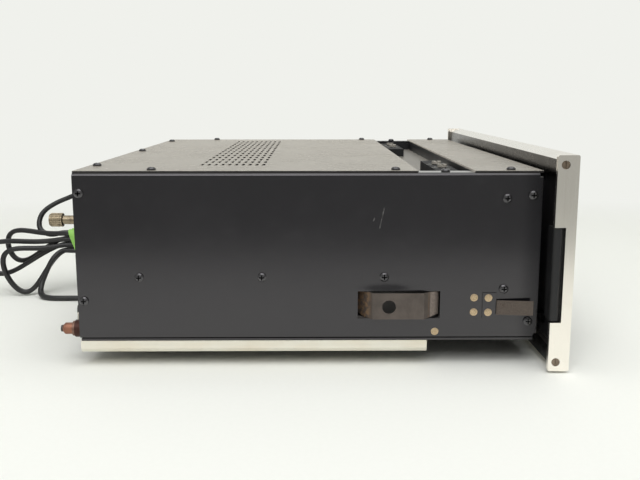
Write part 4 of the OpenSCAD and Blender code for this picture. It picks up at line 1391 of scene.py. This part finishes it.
    def build_world(self) -> None:
        """A dim even room, which the camera sees as pale as the backdrop."""
        world = bpy.data.worlds.new("room")
        bpy.context.scene.world = world
        world.use_nodes = True
        nodes = world.node_tree.nodes
        background = nodes["Background"]
        background.inputs["Color"].default_value = tone(self.paper)
        ray = nodes.new("ShaderNodeLightPath")
        level = nodes.new("ShaderNodeMapRange")
        level.inputs["To Min"].default_value = self.room
        level.inputs["To Max"].default_value = self.backdrop / tone(self.paper)[1]
        world.node_tree.links.new(ray.outputs["Is Camera Ray"], level.inputs["Value"])
        world.node_tree.links.new(level.outputs["Result"], background.inputs["Strength"])


# The mains lead


@dataclass
class MainsLead:
    """A flat twin lead: from the strain relief to a tied hank behind the part, and on to its plug."""

    y_rear: float = 156.5
    z_base: float = 17.5
    length: float = 1740
    width: float = 4.9
    thickness: float = 4.4
    oval_power: float = 2.5
    groove: float = 0.12
    groove_w: float = 0.55
    section_points: int = 22
    route_step: float = 2.0
    lobe_steps: int = 64
    pitch: float = 5.1
    strand_rows: int = 4
    lobes: int = 7
    open_share: float = 0.65
    waist_place: Triple = (12.5, 64, 30)
    left_ease: float = 12
    left_l: Triple = (60, 78, 59)
    left_open: Triple = (26, 27, 38)
    left_tilt: Triple = (13, 14, 26)
    left_fan: float = 10.5
    right_ease: float = 30
    right_l: tuple[float, ...] = (96, 93, 90, 87)
    right_open: float = 40
    right_turn: tuple[float, ...] = (80, 83, 86, 89)
    right_drop: float = 37
    lead_points: tuple[Triple, ...] = (
        (37.5, 28, 75), (37.5, 34, 75), (37.4, 47, 73.6), (36.9, 59, 70.9), (36, 70.6, 66.3),
        (34.5, 78, 63.3), (32, 86.6, 58.6), (29.3, 93.3, 52.1), (27, 95.2, 46), (25.4, 94.9, 41.7),
        (24, 93, 38.3), (22.4, 88.4, 35.8), (20.6, 82, 35), (18.6, 75.8, 36.2),
    )
    tail_points: tuple[Triple, ...] = (
        (5.5, 76, 35.5), (3.5, 81, 27.5), (2, 85, 18.5), (-1, 87.5, 10), (-6.5, 86, 4.4), (-12, 79, 2.5),
        (-14, 69, 2.4), (-14, 58, 2.4), (-14, 46, 2.4), (-15.5, 35, 2.4), (-20.5, 27, 3), (-28, 23, 5.4),
        (-36, 22, 7.8), (-41, 22, 8), (-46, 22, 8),
    )
    straight: float = 5.28
    lying_z: float = 2.4
    floor_gap: float = 0.1
    level_heights: tuple[float, float] = (3, 9)
    settle_heights: tuple[float, float] = (2.5, 5.5)
    plug_l: float = 34
    plug_half_w: float = 12
    plug_half_h: float = 8
    plug_neck: float = 4.4
    plug_power: float = 3.2
    plug_rows: int = 60
    plug_columns: int = 44
    plug_widening: tuple[float, float] = (0.02, 0.5)
    grip_start: tuple[float, float] = (0.05, 0.1)
    grip_end: tuple[float, float] = (0.42, 0.5)
    nose_from: float = 0.93
    nose_loss: float = 0.35
    ridges: int = 11
    ridge_depth: float = 0.045
    blade_l: float = 16
    blade_w: float = 6.3
    blade_t: float = 1.5
    blade_spread: float = 6.35
    blade_hole_r: float = 1.6
    blade_hole_share: float = 0.72
    blade_root: float = 2.0
    blade_power: float = 9
    blade_points: int = 48
    tie_w: float = 7
    tie_t: float = 1.0
    tie_lean: float = 19
    tie_back: float = 6.6
    tie_tail: float = 15
    tie_clear: tuple[float, float] = (0.75, 0.6)
    tie_power: float = 3.4
    tie_steps: int = 72
    tie_core: float = 0.55
    tie_core_w: float = 0.6
    twist_start: Triple = (-1.0, -0.4, 0.2)
    twist_way: Triple = (0.5, -0.62, 0.4)
    twist_steps: int = 48
    twist_turns: float = 2.2
    twist_r: float = 0.9
    twist_strip: tuple[float, float] = (1.5, 0.45)

    @property
    def waist(self) -> Array:
        """The middle of the hank's tied waist."""
        return np.array(self.waist_place) + [0, self.y_rear, self.z_base]

    def strand_z(self, k: Array | float) -> Array | float:
        """Height of a strand's place in the waist."""
        return ((self.strand_rows - 1) / 2 - k) * self.pitch

    def left_lobe(self, k: int, f: Array) -> Array:
        """A lobe behind the part: out by l sin(pi f), opened by w sin(2 pi f) sin(pi f), and tilted.

        w is the open share of its opening, and the tilt comes in as out^2 / (out^2 + ease^2).

        Args:
            k: which lobe.
            f: from 0 to 1 round it.

        Returns:
            Points of the lead's middle.
        """
        out = self.left_l[k] * np.sin(np.pi * f)
        spread = self.open_share * self.left_open[k] * np.sin(2 * np.pi * f) * np.sin(np.pi * f)
        tilt = np.radians(self.left_tilt[k]) * out**2 / (out**2 + self.left_ease**2)
        x = self.left_fan * (1 - k) * np.sin(np.pi * f) - self.pitch / 2 * np.cos(np.pi * f)
        y = out * np.cos(tilt) + spread * np.sin(tilt)
        z = self.strand_z(k + f) - out * np.sin(tilt) + spread * np.cos(tilt)
        return self.waist + np.stack([x, y, z], axis=1)

    def right_lobe(self, k: int, f: Array) -> Array:
        """A lobe that turns sideways behind the rear panel and sinks by drop sin^2(pi f).

        It goes out and opens as a left lobe does, and its turn comes in as out^2 / (out^2 + ease^2).

        Args:
            k: which lobe.
            f: from 0 to 1 round it.

        Returns:
            Points of the lead's middle.
        """
        out = self.right_l[k] * np.sin(np.pi * f)
        turn = np.radians(self.right_turn[k]) * out**2 / (out**2 + self.right_ease**2)
        spread = self.open_share * self.right_open * np.sin(2 * np.pi * f) * np.sin(np.pi * f)
        spread = spread + self.pitch / 2 * np.cos(np.pi * f)
        x = out * np.sin(turn) + spread * np.cos(turn)
        y = spread * np.sin(turn) - out * np.cos(turn)
        z = self.strand_z(k) - self.right_drop * np.sin(np.pi * f) ** 2
        return self.waist + np.stack([x, y, z], axis=1)

    def hank(self) -> tuple[Array, Array]:
        """The hank's lobes in turn, and how far each point's flat side is twisted to face sideways.

        Returns:
            The points, and a share from 0 to 1 for each.
        """
        f = np.linspace(0, 1, self.lobe_steps, endpoint=False)
        points, twist = [], []
        for j in range(self.lobes):
            sideways = j % 2 == 0
            lobe = self.right_lobe if sideways else self.left_lobe
            points.append(lobe(j // 2, f))
            twist.append(np.sin(np.pi * f) ** 2 if sideways else np.zeros_like(f))
        end = self.right_lobe(self.lobes // 2, np.array([1.0]))
        return np.concatenate([*points, end]), np.concatenate([*twist, [0]])

    def route(self) -> tuple[Array, Array]:
        """The whole lead's middle line, and where its flat side points.

        The flat side points along X, turns to Z round the sideways lobes, and lies level on the floor,
        where the flat lead also settles lower than the round solid does.

        Returns:
            The points, and a vector for each.
        """
        hank, twist = self.hank()
        ease = np.array([0, self.straight, 0])
        lead = np.array(self.lead_points) + [0, self.y_rear, self.z_base]
        lead = spline(np.concatenate([lead, [hank[0] + ease, hank[0]]]), self.route_step)[:-1]
        tail = np.array(self.tail_points) + [0, self.y_rear, 0]
        tail = spline(np.concatenate([[hank[-1], hank[-1] + ease], tail]), self.route_step)[1:]
        level = 1 - smooth_step(tail[:, 2], *self.level_heights)
        settled = 1 - smooth_step(tail[:, 2], *self.settle_heights)
        tail[:, 2] -= settled * (self.lying_z - self.thickness / 2 - self.floor_gap)
        path = np.concatenate([lead, hank, tail])
        along = directions(path)
        flat = np.stack([-along[:, 1], along[:, 0], np.zeros(len(path))], axis=1)
        share = np.concatenate([np.zeros(len(lead)), twist, np.zeros(len(tail))])[:, None]
        lying = np.concatenate([np.zeros(len(path) - len(tail)), np.maximum.accumulate(level)])[:, None]
        wide = (1 - share) * Axis.X.line + share * Axis.Z.line
        return path, (1 - lying) * wide + lying * flat

    def section(self) -> Array:
        """The twin lead's outline: a squared oval with a groove along its middle.

        Its height is multiplied by 1 - groove * exp(-(x / groove_w)^2).

        Returns:
            x and y of each point.
        """
        oval = superellipse(self.width / 2, self.thickness / 2, self.oval_power, self.section_points)
        pinch = 1 - self.groove * np.exp(-((oval[:, :1] / self.groove_w) ** 2))
        return np.concatenate([oval[:, :1], oval[:, 1:] * pinch], axis=1)

    def build(self) -> None:
        path, wide = self.route()
        patch = swept(path, wide, self.section())
        lead = Piece("mains_lead", [patch], LEAD_SHEATH, "chassis", "rubber", sharp=80)
        cord = lead.build(self.lead_map(path, patch), LEAD_SHEATH.uv)
        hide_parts("cord_lead", "cord_hank", "cord_tail")
        plug = self.build_plug(path[-1])
        blades = self.build_blades(path[-1])
        tie = self.build_tie()

    def lead_map(self, path: Array, patch: Patch) -> Array:
        """A map for the lead: u is the length along it and v the way round it, in metres.

        Args:
            path: the lead's middle line.
            patch: the lead's surface.

        Returns:
            u and v for each corner of each face.
        """
        columns = patch.points.shape[1]
        run = np.concatenate([[0], np.cumsum(np.linalg.norm(np.diff(path, axis=0), axis=1))])
        u = np.concatenate([run[:1] - self.thickness / 2, run, run[-1:] + self.thickness / 2])
        v = np.arange(columns + 1) / columns * 2 * (self.width + self.thickness)
        grid = np.stack(np.meshgrid(u, v, indexing="ij"), axis=-1) * MM
        corners = [grid[:-1, :-1], grid[1:, :-1], grid[1:, 1:], grid[:-1, 1:]]
        return np.stack(corners, axis=2).reshape(-1, 2)

    def build_plug(self, end: Array) -> bpy.types.Object:
        """The plug's body: squared ovals along -X, which widen from the neck by a smooth step.

        A raised cosine along it makes the grip ridges, and the nose is rounded by a quarter of an ellipse.

        Args:
            end: where the lead enters it.

        Returns:
            The body.
        """
        t = np.linspace(0, 1, self.plug_rows)
        grow = smooth_step(t, *self.plug_widening)
        nose = ((t - self.nose_from) / (1 - self.nose_from)).clip(0, 1)
        round_off = np.sqrt(1 - self.nose_loss * nose**2)
        grip = smooth_step(t, *self.grip_start) * (1 - smooth_step(t, *self.grip_end))
        wave = 0.5 - 0.5 * np.cos(2 * np.pi * t * self.ridges)
        ridge = 1 - self.ridge_depth * wave * grip
        half_w = (self.plug_neck + (self.plug_half_w - self.plug_neck) * grow) * round_off * ridge
        half_h = (self.plug_neck + (self.plug_half_h - self.plug_neck) * grow) * round_off * ridge
        outline = superellipse(1, 1, self.plug_power, self.plug_columns)
        x = np.broadcast_to(-self.plug_l * t[:, None], (len(t), len(outline)))
        skin = np.stack([x, half_w[:, None] * outline[:, 0], half_h[:, None] * outline[:, 1]], axis=-1)
        caps = [np.broadcast_to(np.array([-self.plug_l * at, 0, 0]), skin[:1].shape) for at in (0, 1)]
        patch = Patch(end + np.concatenate([caps[0], skin, caps[1]]))
        body = Piece("plug_body", [patch], BLACK_PLASTIC, "chassis", "black_plastic", sharp=50).build()
        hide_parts("mains_plug")
        return body

    def build_blades(self, end: Array) -> bpy.types.Object:
        """The plug's two flat blades: a ring of four loops, from a round hole out to the outline and back.

        Args:
            end: where the lead enters the plug.

        Returns:
            The blades, as one piece.
        """
        hole_at = self.blade_l * self.blade_hole_share
        outline = superellipse(self.blade_l / 2, self.blade_w / 2, self.blade_power, self.blade_points)
        outline = outline + [self.blade_l / 2 - hole_at, 0]
        hole = superellipse(self.blade_hole_r, self.blade_hole_r, 2, self.blade_points)
        loops = np.stack([hole, outline, outline, hole])
        side = np.array([-0.5, -0.5, 0.5, 0.5]) * self.blade_t
        across = np.broadcast_to(side[:, None], loops.shape[:2])
        blade = np.stack([self.blade_root - loops[..., 0] - hole_at, across, loops[..., 1]], axis=-1)
        start = end - [self.plug_l, 0, 0]
        patches = [Patch(start + blade + [0, s * self.blade_spread, 0], close_rows=True) for s in (-1, 1)]
        return Piece("plug_blades", patches, BLADE_NICKEL, "chassis", "nickel", sharp=30).build()

    def build_tie(self) -> bpy.types.Object:
        """The green tie: a band round the waist, leaning back, and its two ends twisted together on top.

        The band is a squared oval loop, thicker by tie_core * exp(-(x / tie_core_w)^2) over its wire.
        The ends are two helices round a line that leans toward the part.

        Returns:
            The tie.
        """
        half_w = self.pitch / 2 + self.width / 2 + self.tie_clear[0]
        half_h = self.strand_z(0) + self.thickness / 2 + self.tie_clear[1]
        loop = superellipse(half_w, half_h, self.tie_power, self.tie_steps)
        lean = math.tan(math.radians(self.tie_lean))
        ring = np.stack([loop[:, 0], loop[:, 1] * lean, loop[:, 1]], axis=1)
        out = unit(np.stack([loop[:, 0], np.zeros(len(loop)), loop[:, 1]], axis=1))
        section = superellipse(self.tie_w / 2, self.tie_t / 2, 5, 20)
        core = 1 + self.tie_core * np.exp(-((section[:, 0] / self.tie_core_w) ** 2))
        thick = (section[:, 1] * core)[None, :, None] * out[:, None]
        points = ring[:, None] + section[None, :, :1] * Axis.Y.line + thick
        middle = self.waist - [0, self.tie_back, 0]
        band = Patch(middle + points, close_rows=True)
        t = np.linspace(0, 1, self.twist_steps)
        top = np.array([0, lean, 1]) * loop[:, 1].max() + self.twist_start
        line = top + t[:, None] * np.array(self.twist_way) * self.tie_tail
        strip = superellipse(*self.twist_strip, 3, 12)
        ends = []
        for phase in (0, np.pi):
            u = 2 * np.pi * self.twist_turns * t + phase
            wind = np.stack([np.cos(u), np.zeros_like(u), np.sin(u)], axis=1)
            helix = middle + line + self.twist_r * wind
            ends.append(swept(helix, np.cross(wind, directions(line)), strip))
        tie = Piece("lead_tie", [band, *ends], TIE_GREEN, "chassis", "tie", sharp=60).build()
        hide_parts("cord_tie")
        return tie


# The sub-assemblies


@dataclass
class Chassis:
    """The folded case with its covers, screws, feet and rails."""

    def build(self) -> None:
        """Dresses the case."""
        dress(BLACK_PAINT, "left_side_panel", "right_side_panel", "bottom_plate", "rear_panel",
              "spring_plates")
        dress(COVER_PAINT, "top_cover", "top_front_strip")
        dress(PLATE_PAINT, "front_subpanel")
        dress(POCKET_PAINT, "catch_brackets")
        dress(SCREW_BLACK, "case_screws")
        dress(BRASS, "brass_fasteners")
        dress(CREAM, "guide_rails")
        dress(RUBBER, "feet")
        dress(CATCH_STEEL, "left_stop_catch", "right_stop_catch")
        dress(SPRING, "left_side_spring", "right_side_spring")


@dataclass
class TrimWell:
    """The recess in the top with its two blocks and four screwdriver trimmers."""

    block_x: float = 115.5
    y_mid: float = -80.5
    block_shift: float = 6
    block_top: float = 125.5
    spread: float = 13
    mark_r: float = 4.6
    mark_l: float = 2.6
    mark_w: float = 0.5
    marks: int = 7
    sweep: float = 270
    print_t: float = 0.06
    print_sunk: float = 0.02

    def build(self) -> None:
        """Dresses the well and prints plain ticks round each trimmer."""
        dress(TRAY_PAINT, "trim_tray")
        dress(BLOCK_PLASTIC, "trim_blocks")
        dress(PHENOLIC, "trim_pots")
        dress(GREY_PLASTIC, "left_bass_trim", "left_level_trim", "right_level_trim", "right_bass_trim")
        angle = np.radians(np.linspace(-self.sweep / 2, self.sweep / 2, self.marks))
        out = np.stack([np.sin(angle), np.cos(angle), np.zeros_like(angle)], axis=1)
        across = np.cross(Axis.Z.line, out) * self.mark_w / 2
        up = out * self.mark_l / 2
        patches = []
        for side, end in ((s, e) for s in (-1, 1) for e in (-1, 1)):
            x = side * self.block_x + end * self.spread
            y = self.y_mid + side * self.block_shift
            centre = np.array([x, y, self.block_top - self.print_sunk])
            centres = centre + out * (self.mark_r + self.mark_l / 2)
            patches += boxes(centres, across, up, self.print_t * Axis.Z.line)
        Piece("trimmer_marks", patches, MARK_WHITE, "chassis", "grey_plastic").build()


@dataclass
class FrontPanel:
    """The glass front in its aluminium frame, with knobs, buttons and the headphone socket."""

    y_glass: float = -158.0
    y_panel: float = -159.0
    knob_z: float = 84
    big_r: float = 20
    big_reach: float = 18
    small_r: float = 11
    small_reach: float = 14
    tick_gap: float = 2.2
    tick_l: float = 2.8
    tick_w: float = 0.55
    print_t: float = 0.06
    print_sunk: float = 0.02
    pointer_w: float = 1.1
    pointer_t: float = 0.45
    pointer_depth: float = 0.85
    pointer_from: float = 0.3
    pointer_gap: float = 0.05
    knob_rim: float = 3.5

    def knobs(self) -> dict[str, tuple[float, float, float, float, int]]:
        """The knobs in their order across the panel.

        Returns:
            Each knob's place, radius, reach, half sweep in degrees and number of ticks, by its name.
        """
        small = (self.small_r, self.small_reach)
        big = (self.big_r, self.big_reach)
        return {
            "input": (-112, *big, 75, 6),
            "mode": (-54, *small, 60, 5),
            "bass": (-18, *small, 150, 11),
            "treble": (18, *small, 150, 11),
            "balance": (54, *small, 150, 11),
            "volume": (112, *big, 150, 11),
        }

    def build(self) -> None:
        """Dresses the panel, prints ticks round the knobs and inlays their pointers."""
        dress(TOP_ALUMINIUM, "top_trim")
        dress(LOW_ALUMINIUM, "bottom_trim")
        dress(CAP_ALUMINIUM, "left_end_cap", "right_end_cap")
        dress(GLASS, "front_glass")
        dress(PLATE_PAINT, "panel_backplate")
        dress(CAP_SCREW, "end_cap_screws")
        dress(BLACK_PLASTIC, "lock_bars")
        dress(NICKEL, "phones_jack")
        dress(KNOB_ALUMINIUM, *(name + "_knob" for name in self.knobs()))
        dress(KNOB_ALUMINIUM, "power_button", "monitor_button", "loudness_button", "filter_button",
              "left_lock_button", "right_lock_button")
        patches = []
        for name, (x, radius, reach, sweep, count) in self.knobs().items():
            patches += self.ticks(x, radius, sweep, count)
            self.build_pointer(name, x, radius, reach)
        Piece("panel_ticks", patches, MARK_WHITE, "chassis", "grey_plastic").build()

    def ticks(self, x: float, radius: float, sweep: float, count: int) -> list[Patch]:
        """Plain ticks round a knob, evenly over its sweep.

        Args:
            x: the knob's place.
            radius: the knob's radius.
            sweep: half the sweep, in degrees.
            count: how many ticks.

        Returns:
            A patch for each tick.
        """
        angle = np.radians(np.linspace(-sweep, sweep, count))
        out = np.stack([np.sin(angle), np.zeros_like(angle), np.cos(angle)], axis=1)
        across = np.cross(Axis.Y.line, out) * self.tick_w / 2
        middle = np.array([x, self.y_glass + self.print_sunk, self.knob_z])
        centres = middle + out * (radius + self.tick_gap + self.tick_l / 2)
        return boxes(centres, across, out * self.tick_l / 2, -self.print_t * Axis.Y.line)

    def build_pointer(self, name: str, x: float, radius: float, reach: float) -> None:
        """A dark inlay in the groove of a knob's face, which turns with the knob.

        Args:
            name: the knob's name.
            x: the knob's place.
            radius: its radius.
            reach: its reach in front of the panel.
        """
        inner = radius * self.pointer_from + self.pointer_gap
        outer = radius - self.knob_rim
        floor = self.y_panel - reach + self.pointer_depth
        centre = np.array([[x, floor, self.knob_z + (inner + outer) / 2]])
        across = np.array([[self.pointer_w / 2, 0, 0]])
        up = np.array([[0, 0, (outer - inner) / 2]])
        patches = boxes(centre, across, up, -self.pointer_t * Axis.Y.line)
        Piece(name + "_pointer", patches, BLACK_PLASTIC, name + "_knob", "black_plastic").build()


@dataclass
class RearPanel:
    """The jacks, the ground post and the lead's strain relief."""

    y_back: float = 156.0
    jack_reach: float = 14.5
    tip_l: float = 1.3
    tip_out_r: float = 2.25
    tip_bore_r: float = 1.35
    tip_proud: float = 0.08
    tip_steps: int = 28
    corner: tuple[float, float] = (-179.5, 24)
    first_x: float = -135.5
    pitch: float = 24
    columns: int = 8
    rows: tuple[float, float] = (41.5, 61.5)
    relief: tuple[float, float] = (37.5, 92.5)
    relief_l: float = 28.5
    flange_r: float = 8
    flange_t: float = 3
    flange_lip: float = 0.8
    neck_r: float = 6
    neck_in: float = 4
    tip_r: float = 3.6
    ribs: int = 6
    rib_depth: float = 0.55
    relief_rows: int = 120
    relief_steps: int = 44

    def build(self) -> None:
        """Dresses the jacks and the post, and makes the insulators and the ribbed strain relief."""
        dress(COPPER, "phono_jacks")
        dress(NICKEL, "ground_post", "ground_nut")
        self.build_insulators()
        self.build_relief()

    def jacks(self) -> list[tuple[float, float]]:
        """Every jack's x and z."""
        grid = [(self.first_x + i * self.pitch, z) for i in range(self.columns) for z in self.rows]
        return [self.corner, *grid]

    def build_insulators(self) -> None:
        """A dark sleeve round each jack's tip: a squared oval profile, turned round the jack's axis."""
        half = np.array([(self.tip_out_r - self.tip_bore_r) / 2, self.tip_l / 2])
        ring = superellipse(*half, 4, 20)
        centre = np.array([self.tip_out_r, self.jack_reach + self.tip_proud]) - half
        profile = np.concatenate([ring, ring[:1]]) + centre
        places = [np.array([x, self.y_back, z]) for x, z in self.jacks()]
        patches = [turned(profile, place, Axis.Y, self.tip_steps) for place in places]
        Piece("jack_insulators", patches, INSULATOR, "chassis", "black_plastic").build()

    def build_relief(self) -> None:
        """The strain relief: a rounded flange, then a cone with round ribs, closed at its tip."""
        u = np.linspace(0, np.pi / 2, 8)
        quarter = self.flange_lip * (np.stack([np.cos(u), np.sin(u)], axis=1) - 1)
        edge = quarter + [self.flange_r, self.flange_t]
        y = np.linspace(self.flange_t, self.relief_l, self.relief_rows)
        share = (y - self.flange_t) / (self.relief_l - self.flange_t)
        cone = self.neck_r + (self.tip_r - self.neck_r) * share
        wave = smooth_step(np.cos(2 * np.pi * self.ribs * share), -0.2, 0.4)
        rib = self.rib_depth * wave * smooth_step(share, 0.02, 0.1)
        neck = [[0, -self.neck_in], [self.neck_r, -self.neck_in], [self.neck_r, 0], [self.flange_r, 0]]
        body = np.stack([cone - rib, y], axis=1)
        profile = np.concatenate([neck, edge, body, [[0, self.relief_l]]])
        origin = np.array([self.relief[0], self.y_back, self.relief[1]])
        patch = turned(profile, origin, Axis.Y, self.relief_steps)
        relief = Piece("relief_boot", [patch], BLACK_PLASTIC, "chassis", "rubber").build()
        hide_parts("strain_relief")


@dataclass
class Inside:
    """What the vents let one see, and what carries the controls."""

    def build(self) -> None:
        """Dresses the inner parts."""
        dress(INNER_STEEL, "power_transformer", "filter_capacitors", "control_pots")
        dress(PHENOLIC, "selector_switches")
        dress(BLACK_PLASTIC, "button_bank")
        dress(BOARD, "main_board")


def main() -> None:
    """Makes the camera and the lead, dresses every sub-assembly, and lights them."""
    logging.basicConfig(level=logging.INFO, format="%(name)s %(message)s")
    for kind in (PhotoCamera, MainsLead, Chassis, TrimWell, FrontPanel, RearPanel, Inside, Studio):
        kind().build()
        LOG.info("%s done", kind.__name__)


if __name__ == "__main__":
    main()
